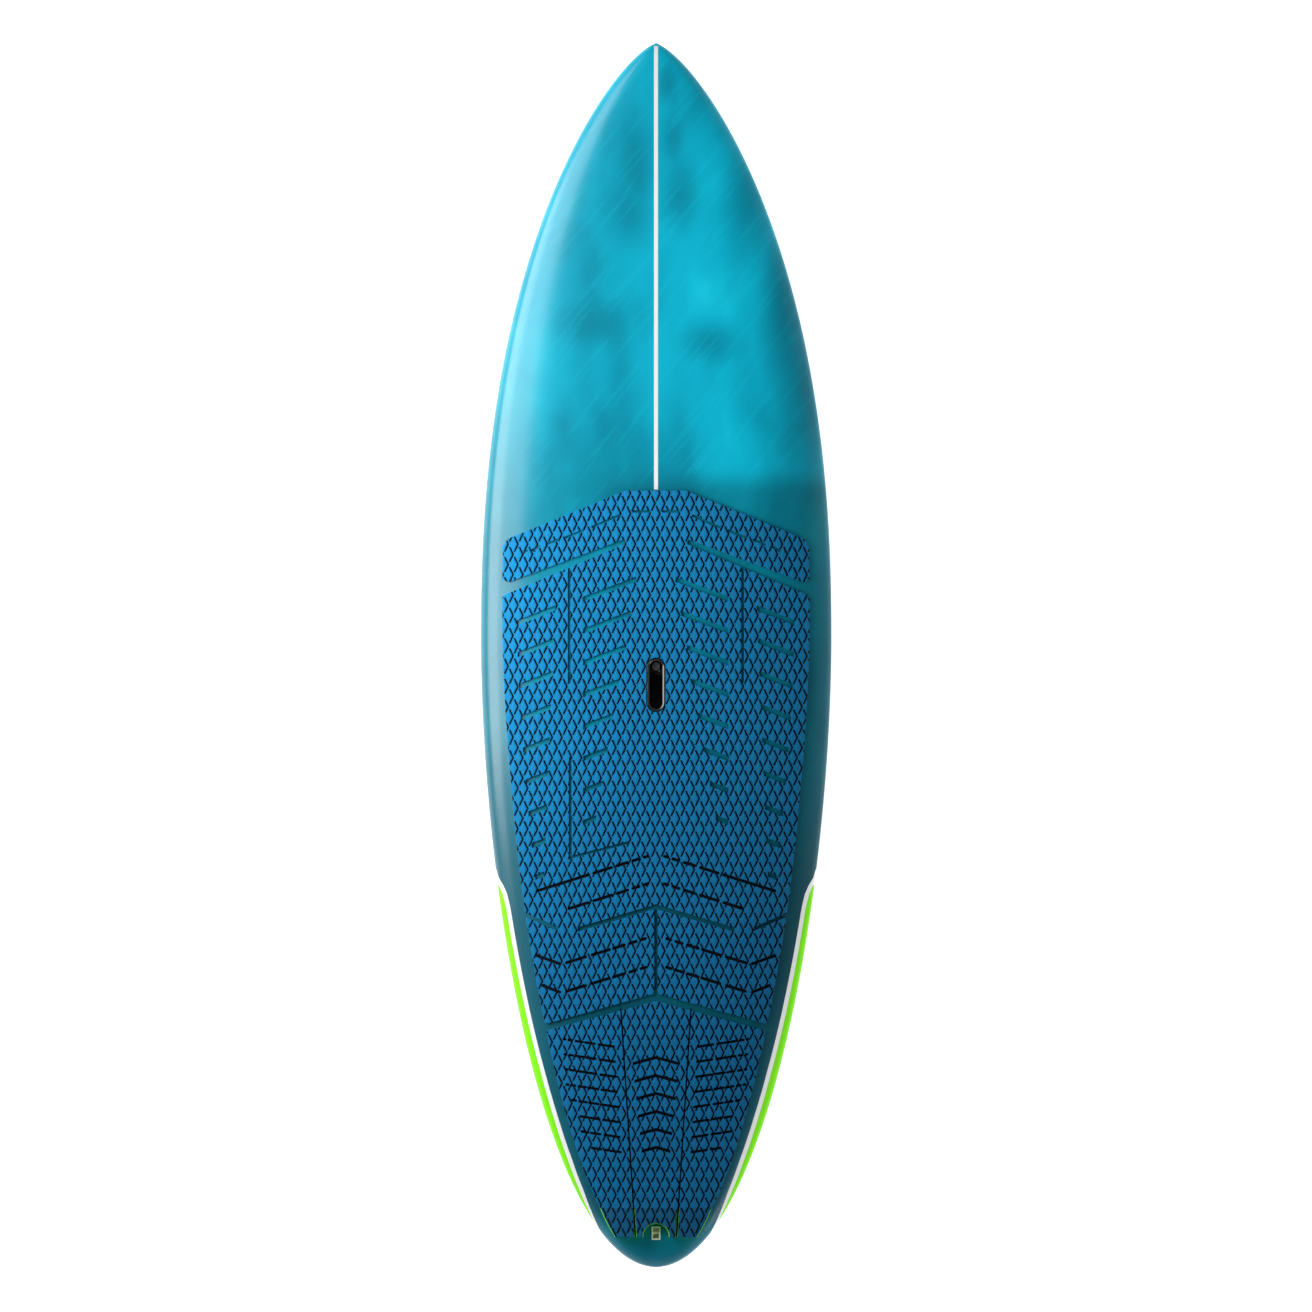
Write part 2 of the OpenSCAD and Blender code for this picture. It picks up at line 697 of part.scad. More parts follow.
module kick_wedge(part) color(kick_lime) intersection() {
    slab(lifted_grid(kick_ys, [for (y = kick_ys) kick_lift(y)]),
         lifted_grid(kick_ys, [for (y = kick_ys) 0]), LEFT_CELLS);
    tail_cut(part);
}

// --- Nodes ---------------------------------------------------------------------------------

foam_core(-1);  // foam_core_left
foam_core(1);  // foam_core_right
stringer();
deck_sandwich();
bottom_sandwich();
deck_shell();
bottom_shell();
centre_pinline();
pad_main();
pad_tail(-1);  // pad_tail_left
pad_tail(0);  // pad_tail_centre
pad_tail(1);  // pad_tail_right
kick_wedge(-1);  // kick_wedge_left
kick_wedge(0);  // kick_wedge_centre
kick_wedge(1);  // kick_wedge_right
handle_cup();
handle_floor();
vent_body();
vent_membrane();
vent_plug();
vent_o_ring();
leash_plug();
leash_pin();
centre_fin_box();
centre_fin();
fin_cross_pin();
fin_nut_plate();
fin_screw();
side_fin_box(-1);  // side_fin_box_left
side_fin_box(1);  // side_fin_box_right
side_fin(-1);  // side_fin_left
side_fin(1);  // side_fin_right
grub_screw(-1);  // grub_screw_left
grub_screw(1);  // grub_screw_right
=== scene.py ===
import math

import bmesh
import bpy
import numpy as np
from mathutils import Matrix, Vector
from mathutils.geometry import delaunay_2d_cdt


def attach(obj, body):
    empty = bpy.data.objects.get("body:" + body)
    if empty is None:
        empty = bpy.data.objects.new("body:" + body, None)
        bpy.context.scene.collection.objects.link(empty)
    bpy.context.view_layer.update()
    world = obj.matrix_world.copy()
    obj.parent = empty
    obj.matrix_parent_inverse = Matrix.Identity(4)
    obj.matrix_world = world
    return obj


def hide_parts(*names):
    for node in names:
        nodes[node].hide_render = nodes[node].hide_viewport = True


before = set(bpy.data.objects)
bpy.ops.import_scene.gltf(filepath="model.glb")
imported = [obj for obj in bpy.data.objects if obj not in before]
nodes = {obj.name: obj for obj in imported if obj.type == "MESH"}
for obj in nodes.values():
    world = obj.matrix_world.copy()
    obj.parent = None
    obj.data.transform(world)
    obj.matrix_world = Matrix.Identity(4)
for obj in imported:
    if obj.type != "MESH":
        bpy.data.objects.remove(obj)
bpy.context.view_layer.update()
scene = bpy.context.scene

# The shape functions below work in millimetres in the CAD frame: +Y to the nose, +X to the rider's
# right, +Z up. Meshes are scaled to metres when they are made.
MM = 0.001
HALF_L = 1143.0
HALF_W = 328.5
WIDE_Y = 30.0
MID_T = 100.0
SKIN_T = 1.2
PAD_T = 5.0
KICK_FRONT_Y = -1030.0
KICK_BACK_Y = -1085.0
KICK_H = 22.0
KICK_START = 0.5
HANDLE_Y = -54.0
LEASH_Y = -1078.5
TAIL_ANGLE = math.radians(-4.63773)
LEASH_ANGLE = math.radians(4.40719)


# --- Hull surfaces ----------------------------------------------------------------------------

def half_width(y):
    """Half the board's width at each station."""
    ahead = y > WIDE_Y
    run = np.where(ahead, HALF_L - WIDE_Y, HALF_L + WIDE_Y)
    share = np.minimum(np.abs(y - WIDE_Y) / run, 1.0)
    outer = np.where(ahead, 2.3, 1.8)
    inner = np.where(ahead, 0.73, 0.5)
    return np.maximum(HALF_W * (1 - share**outer) ** inner, 3.0)


def bottom_line(y):
    """Height of the bottom along the centreline: flat in the middle, rising to nose and tail."""
    flat, straight, curve = 250.0, -680.0, 430.0
    bend = 55.0 / (curve * (curve + 2 * (HALF_L + straight)))
    nose = 135.0 * (np.maximum(y - flat, 0) / (HALF_L - flat)) ** 2.1
    tail = bend * np.clip(-flat - y, 0, curve) ** 2
    return nose + tail + 2 * bend * curve * np.maximum(straight - y, 0)


def thickness(y):
    tip = np.where(y > 0, 16.0, 28.0)
    return tip + (MID_T - tip) * (1 - (np.abs(y) / HALF_L) ** 2.2) ** 0.8


def end_share(y):
    """How much of the crown is left near the blunt ends."""
    run = np.where(y > 0, 30.0, 45.0)
    share = 0.97 * np.maximum(np.abs(y) - HALF_L + run, 0) / run
    return (1 - share**3) ** 0.45


def rail_line(y, inset=0.0):
    return bottom_line(y) + inset + 0.42 * (thickness(y) - 2 * inset)


def deck_height(x, y, inset=0.0, width=None):
    """Height of the deck, or of the surface at a depth of inset below it."""
    width = half_width(y) if width is None else width
    rise = 0.58 * (thickness(y) - 2 * inset) * end_share(y)
    share = np.minimum(np.abs(x) / width, 1.0)
    return rail_line(y, inset) + rise * (1 - share**3.2) ** 0.45


def bottom_height(x, y, inset=0.0, width=None):
    width = half_width(y) if width is None else width
    flat = np.interp(y, [-700, 0, 900], [0.86, 0.6, 0.5])
    share = np.clip((np.abs(x) / width - flat) / (1 - flat), 0, 1)
    drop = 0.42 * (thickness(y) - 2 * inset) * end_share(y)
    return rail_line(y, inset) - drop * np.sqrt(1 - share**2)


def pad_edge(y):
    """Half the pad's width: the rail less the strip of deck left bare beside the pad."""
    stops = [-1085, -1030, -900, -690, -250, 150]
    return half_width(y) - np.interp(y, stops, [20, 29, 37, 44, 46, 40])


def kick_lift(y):
    """How far the tail kick lifts the pad off the deck."""
    share = (KICK_FRONT_Y - y) / (KICK_FRONT_Y - KICK_BACK_Y)
    return np.where(y > KICK_FRONT_Y, 0.0, KICK_START + (KICK_H - KICK_START) * share)


# --- Mesh helpers -----------------------------------------------------------------------------

def add_object(name, mesh):
    obj = bpy.data.objects.new(name, mesh)
    scene.collection.objects.link(obj)
    return obj


def solid(name, points, faces, weld=0.0):
    """A closed mesh from points in millimetres, with its faces turned outward."""
    mesh = bpy.data.meshes.new(name)
    mesh.from_pydata((np.asarray(points, float) * MM).tolist(), [], faces)
    work = bmesh.new()
    work.from_mesh(mesh)
    if weld:
        bmesh.ops.remove_doubles(work, verts=work.verts, dist=weld * MM)
        bmesh.ops.dissolve_degenerate(work, edges=work.edges, dist=weld * MM)
    bmesh.ops.recalc_face_normals(work, faces=work.faces)
    work.to_mesh(mesh)
    work.free()
    mesh.update()
    return add_object(name, mesh)


def settle(obj):
    """Bakes an object's modifiers into its mesh."""
    graph = bpy.context.evaluated_depsgraph_get()
    baked = bpy.data.meshes.new_from_object(obj.evaluated_get(graph))
    obj.modifiers.clear()
    obj.data = baked
    return obj


def combine(obj, others, operation):
    """Cuts others out of obj, or keeps only what is in them, and removes them."""
    for other in others:
        step = obj.modifiers.new("combine", "BOOLEAN")
        step.operation = operation
        step.solver = "EXACT"
        step.object = other
    settle(obj)
    for other in others:
        bpy.data.objects.remove(other)
    return obj


def smooth(obj, angle):
    """Smooth shading, kept sharp where faces meet at more than angle degrees."""
    obj.data.shade_smooth()
    obj.data.set_sharp_from_angle(angle=math.radians(angle))
    return obj


def bevel(obj, width, segments=3, angle=35):
    """Rounds an object's sharp edges by width millimetres."""
    weld = obj.modifiers.new("weld", "WELD")
    weld.merge_threshold = 0.00001
    round_off = obj.modifiers.new("round", "BEVEL")
    round_off.width = width * MM
    round_off.segments = segments
    round_off.limit_method = "ANGLE"
    round_off.angle_limit = math.radians(angle)
    round_off.harden_normals = False
    return obj


def ring_walls(loops, closed=True):
    """Quads between loops of equal length."""
    count = len(loops[0])
    last = count if closed else count - 1
    return [
        (low[i], low[(i + 1) % count], high[(i + 1) % count], high[i])
        for low, high in zip(loops, loops[1:])
        for i in range(last)
    ]


def prism(name, outline, low, high, matrix=None):
    """An upright solid over a 2-D outline, between two heights in millimetres."""
    count = len(outline)
    points = [(x, y, z) for z in (low, high) for x, y in outline]
    base, top = list(range(count)), list(range(count, 2 * count))
    obj = solid(name, points, [tuple(base[::-1]), tuple(top), *ring_walls([base, top])])
    if matrix is not None:
        obj.data.transform(matrix)
    return obj


def stadium(width, length, steps=16):
    """A slot-shaped outline with round ends, its length along Y."""
    radius, reach = width / 2, (length - width) / 2
    turn = np.linspace(0, math.pi, steps + 1)
    front = [(radius * math.cos(a), reach + radius * math.sin(a)) for a in turn]
    return front + [(-x, -y) for x, y in front]


def placed(x, y, z, *turns):
    """A frame at a point in millimetres, turned about axes in order: ("X", angle), ..."""
    matrix = Matrix.Translation(Vector((x, y, z)) * MM)
    for axis, angle in turns:
        matrix = matrix @ Matrix.Rotation(angle, 4, axis)
    return matrix


HANDLE_TOP = float(deck_height(0.0, HANDLE_Y))
LEASH_TOP = float(deck_height(0.0, LEASH_Y))
AT_HANDLE = placed(0, HANDLE_Y, HANDLE_TOP)
AT_LEASH = placed(0, LEASH_Y, LEASH_TOP, ("X", LEASH_ANGLE))
AT_CENTRE_FIN = placed(0, -925, float(bottom_line(-925.0)), ("X", TAIL_ANGLE))


def at_side_box(side):
    toe_in = math.radians(3) * side
    height = float(bottom_line(-790.0))
    return placed(162 * side, -790, height, ("X", TAIL_ANGLE), ("Z", toe_in))


def at_side_fin(side):
    return at_side_box(side) @ Matrix.Rotation(math.radians(-5) * side, 4, "Y")


# --- Hull skins -------------------------------------------------------------------------------

HULL_ROWS = 221
HULL_COLUMNS = 97


def skin_grid(height, inset):
    """One side of a skin as rows of points. The first and last rows close its blunt ends."""
    station = HALF_L * np.sin(np.linspace(-math.pi / 2, math.pi / 2, HULL_ROWS))
    share = np.sin(np.linspace(-math.pi / 2, math.pi / 2, HULL_COLUMNS))
    width = half_width(station)[:, None] * (1 - inset / HALF_W)
    x = width * share
    y = np.repeat((station * (1 - inset / HALF_L))[:, None], HULL_COLUMNS, axis=1)
    z = height(x, station[:, None], inset, width)
    rail = np.repeat(rail_line(station, inset)[:, None], HULL_COLUMNS, axis=1)
    grid = np.stack([x, y, z], axis=2)
    seam = np.stack([x, y, rail], axis=2)
    return np.concatenate([seam[:1], grid, seam[-1:]])


def skin(name, height):
    """A thin closed shell under the deck or over the bottom, out to the rails."""
    outer, inner = skin_grid(height, 0.0), skin_grid(height, SKIN_T)
    rows, columns = outer.shape[:2]
    index = np.arange(rows * columns).reshape(rows, columns)
    faces = []
    for grid in (index, index + rows * columns):
        a, b, c, d = grid[:-1, :-1], grid[:-1, 1:], grid[1:, 1:], grid[1:, :-1]
        faces += np.stack([a, b, c, d], axis=2).reshape(-1, 4).tolist()
    rim = [*index[0, :-1], *index[:-1, -1], *index[-1, :0:-1], *index[:0:-1, 0]]
    faces += ring_walls([[int(i) for i in rim], [int(i) + rows * columns for i in rim]])
    points = np.concatenate([outer.reshape(-1, 3), inner.reshape(-1, 3)])
    return solid(name, points, faces, weld=0.002)


def band_insets(y):
    """How far in from the rail the lime band and, inside it, the white band reach at the tail."""
    stops = [-1078, -1060, -1040, -1000, -940, -860, -780, -620, -470, -445, -428, -415, -390]
    lime = np.interp(y, stops, [0, 0, 4, 7.8, 11.5, 13.6, 14.2, 12.6, 11, 7.8, 2.6, 0, 0])
    white = np.interp(y, stops, [0, 4.4, 8.4, 15, 19.6, 21.8, 22.2, 20.6, 18.5, 16, 10.8, 4, 0])
    return lime, white


def mark_bands(obj, share):
    """Stores how far each point lies inside the lime and white bands, in millimetres."""
    mesh = obj.data
    at = np.zeros(len(mesh.vertices) * 3)
    mesh.vertices.foreach_get("co", at)
    at = at.reshape(-1, 3) / MM
    gap = half_width(at[:, 1]) - np.abs(at[:, 0])
    for name, inset in zip(("in_lime", "in_white"), band_insets(at[:, 1])):
        values = np.where(inset > 0, share * inset - gap, -30.0)
        mesh.attributes.new(name, "FLOAT", "POINT").data.foreach_set("value", values)
    return obj


deck = skin("deck_skin", deck_height)
combine(deck, [
    prism("handle_hole", stadium(34, 100), -60, 20, AT_HANDLE),
    prism("leash_hole", [(-8.25, -12.5), (8.25, -12.5), (8.25, 12.5), (-8.25, 12.5)], -22, 8, AT_LEASH),
], "DIFFERENCE")
mark_bands(smooth(deck, 30), 1.0)
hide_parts("deck_shell")
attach(deck, "board")

hull = skin("bottom_skin", bottom_height)
side_outline = [(x, y + 7) for x, y in stadium(16, 138)]
combine(hull, [
    prism("track_hole", stadium(25, 235), -8, 24, AT_CENTRE_FIN),
    prism("left_hole", side_outline, -8, 19, at_side_box(-1)),
    prism("right_hole", side_outline, -8, 19, at_side_box(1)),
], "DIFFERENCE")
mark_bands(smooth(hull, 30), 0.7)
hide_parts("bottom_shell")
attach(hull, "board")


def strip_over_deck(name, half, y0, y1, rows, low, high):
    """A thin band painted along the centreline, between two heights above the deck."""
    station = np.linspace(y0, y1, rows)
    loops = []
    points = []
    for y in station:
        width = min(half, float(half_width(np.array(y))))
        loops.append(list(range(len(points), len(points) + 4)))
        for x, lift in ((-width, low), (width, low), (width, high), (-width, high)):
            points.append((x, y, float(deck_height(np.array(x), np.array(y))) + lift))
    ends = [tuple(loops[0][::-1]), tuple(loops[-1])]
    return solid(name, points, [*ring_walls(loops), *ends])


pinline = smooth(strip_over_deck("pinline", 3.75, 311.0, HALF_L, 140, -0.4, 0.3), 30)
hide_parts("centre_pinline")
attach(pinline, "board")


# --- Pad outlines -----------------------------------------------------------------------------

def rounded(corners, steps=5):
    """A closed outline from (x, y, radius) corners, each rounded by its radius."""
    out = []
    count = len(corners)
    for i, (x, y, radius) in enumerate(corners):
        at = np.array((x, y), float)
        if radius <= 0:
            out.append(at)
            continue
        back = np.array(corners[i - 1][:2], float) - at
        ahead = np.array(corners[(i + 1) % count][:2], float) - at
        spans = np.linalg.norm(back), np.linalg.norm(ahead)
        back, ahead = back / spans[0], ahead / spans[1]
        half = math.acos(np.clip(back @ ahead, -1, 1)) / 2
        reach = min(radius / math.tan(half), 0.48 * min(spans))
        for t in np.linspace(0, 1, steps + 1):
            out.append(at + back * reach * (1 - t) ** 2 + ahead * reach * t**2)
    return np.array(out)


def flipped(outline):
    """The same outline on the other side of the board."""
    return (np.asarray(outline) * (-1, 1))[::-1]


def bar(x0, y0, x1, y1, width, square=False):
    """A slanted slot. Its ends are cut along Y, or are round."""
    a, b = np.array((x0, y0), float), np.array((x1, y1), float)
    along = (b - a) / np.linalg.norm(b - a)
    side = np.array((-along[1], along[0])) * width / 2
    if square:
        up = np.array((0, width / 2 / abs(along[0])))
        corners = [a - up, b - up, b + up, a + up]
        return rounded([(*p, 0.8) for p in corners], 3)
    turn = np.linspace(-math.pi / 2, math.pi / 2, 7)
    front = [b + side * math.sin(t) + along * width / 2 * math.cos(t) for t in turn]
    rear = [a - side * math.sin(t) - along * width / 2 * math.cos(t) for t in turn]
    return np.array(front + rear)


def spans_along(slope, level, spans, width):
    """Dashes in one slanted row, at spans of x, on both sides."""
    made = [bar(x0, level + slope * x0, x1, level + slope * x1, width) for x0, x1 in spans]
    return made + [flipped(m) for m in made]


def edge_corners(y0, y1, step, inset=0.0):
    return [(float(pad_edge(np.array(y))) - inset, y, 0) for y in np.arange(y0, y1, step)]


def mirrored(right):
    """A closed outline from its right half, back to front, as (x, y, radius)."""
    left = [(-x, y, r) for x, y, r in right[::-1] if x > 0]
    return rounded(right + left)


main_outline = mirrored([
    (0, -630, 3), (207, -688, 7), *edge_corners(-672, 196, 14),
    (286.5, 205, 6), (277, 219, 7), (56, 309, 16),
])

# Cuts through the pad that show the deck.
front_channel = rounded([
    (60, 218, 3), (57.5, 209.5, 3), (281, 115, 8), (300, 100, 0), (300, 150, 0), (276, 137.5, 8),
])
rear_channel = bar(146, -511, -1.2, -467.7, 8, square=True)
rear_notch = rounded([
    (181.5, -514.5, 2), (184, -506, 3), (242, -481, 6), (262, -464, 0), (262, -498, 0), (240, -489.5, 6),
])
ladder = [
    bar(135.8, 106 - 59.6 * i, 36.6 + 10.7 * i, 106 - 59.6 * i + 0.378 * (99.2 - 10.7 * i), 8.8, square=True)
    for i in range(8)
]
outer_ladder = []
for i in range(9):
    step_y = 62 - 59.5 * i
    step_x0 = float(pad_edge(np.array(step_y))) - 28
    step_x1 = 188 + 2.6 * i
    step_rise = 0.39 * (step_x0 - step_x1)
    outer_ladder.append(bar(step_x0, step_y, step_x1, step_y + step_rise, 8.8, square=True))
front_dashes = [
    bar(13.5, 270, 42, 270, 4.4), bar(118.6, 241, 69.3, 262, 4.4), bar(168, 221.5, 136, 234, 4.4),
    bar(204, 208.6, 183, 217, 4.4), bar(230, 198, 218, 204, 4.4), bar(247, 191.5, 241, 196, 4.4),
]
long_slit = bar(162, 170, 162, -49, 5.0)
one_side = [
    front_channel, rear_channel, rear_notch, long_slit, *ladder, *outer_ladder, *front_dashes,
]
main_cuts = one_side + [flipped(c) for c in one_side] + [
    rounded([(-3.2, -472, 0), (-3.2, -627, 4), (-9, -650, 0), (9, -650, 0), (3.2, -627, 4), (3.2, -472, 0)]),
    bar(-160, -191, -160, -379, 5.2),
    bar(-162, -377, -52, -349, 5.2),
    np.array(stadium(36, 102)) + (0, HANDLE_Y),
]

# Grooves that don't reach the deck.
DASH_W = 6.2
DASH_SPANS = [(83, 116), (53, 73), (31.5, 43), (16, 22)]
main_grooves = [
    *spans_along(-0.3155, -369, [(127, 222), *DASH_SPANS], DASH_W),
    *spans_along(-0.3185, -420.4, [(127, 162), *DASH_SPANS], DASH_W),
]
for level in (-521.9, -575.4):
    dashes = [(131.5, 167), (87, 119), (59, 79), (37, 49), (20, 28)]
    main_grooves += spans_along(-0.306, level, dashes, DASH_W)
for hook in (bar(180, -575, 222, -560, DASH_W), bar(180, -628, 211, -616, DASH_W)):
    main_grooves += [hook, flipped(hook)]

SLIT_SLOPE = 0.06378
TAIL_SLIT = 2.8


def slit_x(y):
    """Where the slit between the middle and side tail pads runs."""
    return 66.7 - SLIT_SLOPE * (-640 - y)


def tail_front(x):
    return -644.5 - 0.2714 * x


def tail_side_outline(inset):
    """The right tail pad. Over the kick it is inset at its edges by this much, back to front."""
    slit = TAIL_SLIT / 2
    start_y = tail_front(65.3 + slit)
    kick = [(float(pad_edge(np.array(y))) - inset, y, 0) for y in np.arange(KICK_BACK_Y, KICK_FRONT_Y - 3, 8)]
    return rounded([
        (float(slit_x(KICK_BACK_Y)) + slit + inset * 0.7, KICK_BACK_Y, 0), *kick,
        *edge_corners(KICK_FRONT_Y, -712, 13), (204.5, -700, 6),
        (float(slit_x(start_y)) + slit, start_y, 1),
        (float(slit_x(KICK_FRONT_Y)) + slit, KICK_FRONT_Y, 0),
        (float(slit_x(KICK_FRONT_Y - 3)) + slit + inset * 0.7, KICK_FRONT_Y - 3, 0),
    ])


def tail_middle_outline(inset):
    slit = TAIL_SLIT / 2
    start_y = tail_front(65.3 - slit)
    turn = np.linspace(0, math.pi / 2, 9)
    wide, tall = 24 + inset, 24.5 + inset
    arch = [(wide * math.cos(a), KICK_BACK_Y + tall * math.sin(a) ** 0.9, 0) for a in turn[:-1]]
    right = [
        *[(x, y, 0) for x, y, _ in arch[::-1]],
        (float(slit_x(KICK_BACK_Y)) - slit - inset * 0.7, KICK_BACK_Y, 0),
        (float(slit_x(KICK_FRONT_Y - 3)) - slit - inset * 0.7, KICK_FRONT_Y - 3, 0),
        (float(slit_x(KICK_FRONT_Y)) - slit, KICK_FRONT_Y, 0),
        (float(slit_x(start_y)) - slit, start_y, 1),
    ]
    left = [(-x, y, r) for x, y, r in right[::-1]]
    return rounded([*right, (0, -644.5, 3), *left, (0, KICK_BACK_Y + tall, 0)])


side_grooves = []
for i in range(8):
    level = -741.4 - 27.9 * i
    inner = float(slit_x(level)) + 18.5
    limit = float(pad_edge(np.array(level))) - 9
    for x0, x1 in ((0, 28), (36, 53), (58, 71), (78, 84.5), (90.5, 93.5)):
        if inner + x1 < limit:
            y0, y1 = (level + 0.148 * (inner + x) for x in (x0, x1))
            side_grooves.append(bar(inner + x0, y0, inner + x1, y1, 5.2))
middle_grooves = []
for i in range(6):
    half, level = 44 - 3.4 * i, -750 - 33.6 * i
    drop = 0.27 * half
    middle_grooves.append(rounded([
        (-half, level - drop - 3.2, 1), (0, level - 3.2, 6), (half, level - drop - 3.2, 1),
        (half, level - drop + 3.2, 1), (0, level + 3.2, 6), (-half, level - drop + 3.2, 1),
    ]))


# --- Pads with real studs ---------------------------------------------------------------------

STUD_HALF_X = 9.15
STUD_HALF_Y = 19.0
SHADE_IN = 3.35         # the groove right of each stud starts this far inside the cell's edge
SHADE_OUT = 0.9         # and rises back to the top this far outside it
SHADE_STEEP = 0.25      # width of its wall on the stud's side, and of the long slope opposite
SHADE_SLOPE = 0.8
SHADE_REACH = 14.4      # the groove's arms end this far above and below the stud's middle
SHADE_END = 0.5
STUD_DEPTH = 1.8
INSET_OUT = 0.60        # a shallow inner diamond is raised between these shares of the cell
INSET_IN = 0.46
INSET_RISE = 0.7
GROOVE_DEPTH = 3.0
GROOVE_DRAFT = 0.3
EDGE_W = 0.6
EDGE_DROP = 0.4
FACE_STEP = 30.0        # spacing of points on the hidden underside


def stud_relief(x, y):
    """(share of a groove's depth, share of the inner diamond's rise) at each point of the pad."""
    depth = np.zeros(np.shape(x))
    best = np.full(np.shape(x), 9.0)
    for shift in (0.0, 1.0):
        across = (x / STUD_HALF_X + shift + 0.5) % 2 - 0.5
        along = (y / STUD_HALF_Y + shift + 1) % 2 - 1
        past = (across + np.abs(along) - 1) * STUD_HALF_X
        steep = (past + SHADE_IN) / SHADE_STEEP
        slope = (SHADE_OUT - past) / SHADE_SLOPE
        end = (SHADE_REACH - np.abs(along) * STUD_HALF_Y) / SHADE_END
        depth = np.maximum(depth, np.clip(np.minimum(np.minimum(steep, slope), end), 0, 1))
        share = np.abs((x / STUD_HALF_X + shift + 1) % 2 - 1) + np.abs(along)
        best = np.minimum(best, share)
    return depth, np.clip((INSET_OUT - best) / (INSET_OUT - INSET_IN), 0, 1)


def groove_ring(x, y, start, stop, reach):
    """The outline of the arrow-shaped groove at a stud's right, between two offsets from the edge."""
    far = STUD_HALF_X * (1 - reach / STUD_HALF_Y)
    corners = [
        (far + start, reach), (STUD_HALF_X + start, 0), (far + start, -reach),
        (far + stop, -reach), (STUD_HALF_X + stop, 0), (far + stop, reach),
    ]
    return np.array([(x + a, y + b) for a, b in corners])


def inset_ring(x, y, share):
    across, along = STUD_HALF_X * share, STUD_HALF_Y * share
    return np.array([(x + across, y), (x, y + along), (x - across, y), (x, y - along)])


def stud_rings(x, y):
    """The outlines that one stud's relief folds along."""
    low, high = SHADE_STEEP - SHADE_IN, SHADE_OUT - SHADE_SLOPE
    return [
        groove_ring(x, y, -SHADE_IN, SHADE_OUT, SHADE_REACH),
        groove_ring(x, y, low, high, SHADE_REACH - SHADE_END),
        inset_ring(x, y, INSET_OUT),
        inset_ring(x, y, INSET_IN),
    ]


def inside(points, outline):
    """Which points lie in a closed outline."""
    x, y = points[:, 0], points[:, 1]
    found = np.zeros(len(points), bool)
    low, high = outline.min(0), outline.max(0)
    near = np.flatnonzero((x > low[0]) & (x < high[0]) & (y > low[1]) & (y < high[1]))
    px, py = x[near], y[near]
    odd = np.zeros(len(near), bool)
    for (ax, ay), (bx, by) in zip(outline, np.roll(outline, -1, axis=0)):
        if ay != by:
            crosses = (ay > py) != (by > py)
            odd ^= crosses & (px < ax + (py - ay) / (by - ay) * (bx - ax))
    found[near] = odd
    return found


def distance(points, outline, reach):
    """Distance from each point to an outline, or reach where it is further than that."""
    found = np.full(len(points), float(reach))
    low, high = outline.min(0) - reach, outline.max(0) + reach
    near = np.flatnonzero(((points > low) & (points < high)).all(1))
    some = points[near]
    best = np.full(len(near), float(reach))
    for a, b in zip(outline, np.roll(outline, -1, axis=0)):
        span = b - a
        share = np.clip((some - a) @ span / max(span @ span, 1e-12), 0, 1)
        best = np.minimum(best, np.linalg.norm(some - a - share[:, None] * span, axis=1))
    found[near] = best
    return found


def grown(outline, by):
    """The outline moved outward by a distance, or inward by a negative one."""
    ahead = np.roll(outline, -1, axis=0) - outline
    ahead /= np.maximum(np.linalg.norm(ahead, axis=1), 1e-9)[:, None]
    normal = np.stack([ahead[:, 1], -ahead[:, 0]], axis=1)
    x, y = outline[:, 0], outline[:, 1]
    if np.sum(x * np.roll(y, -1) - np.roll(x, -1) * y) < 0:
        normal = -normal
    corner = normal + np.roll(normal, 1, axis=0)
    scale = np.maximum((corner * normal).sum(1), 0.4)
    return outline + by * corner / scale[:, None]


def divide(loops, extra=()):
    """Delaunay triangles that keep every loop's edges: (points, triangles)."""
    points, edges = [], []
    for loop in loops:
        first = len(points)
        points += [Vector(p) for p in loop]
        count = len(loop)
        edges += [(first + i, first + (i + 1) % count) for i in range(count)]
    points += [Vector(p) for p in extra]
    got = delaunay_2d_cdt(points, edges, [], 0, 1e-5, False)
    return np.array([tuple(p) for p in got[0]]), np.array(got[2])


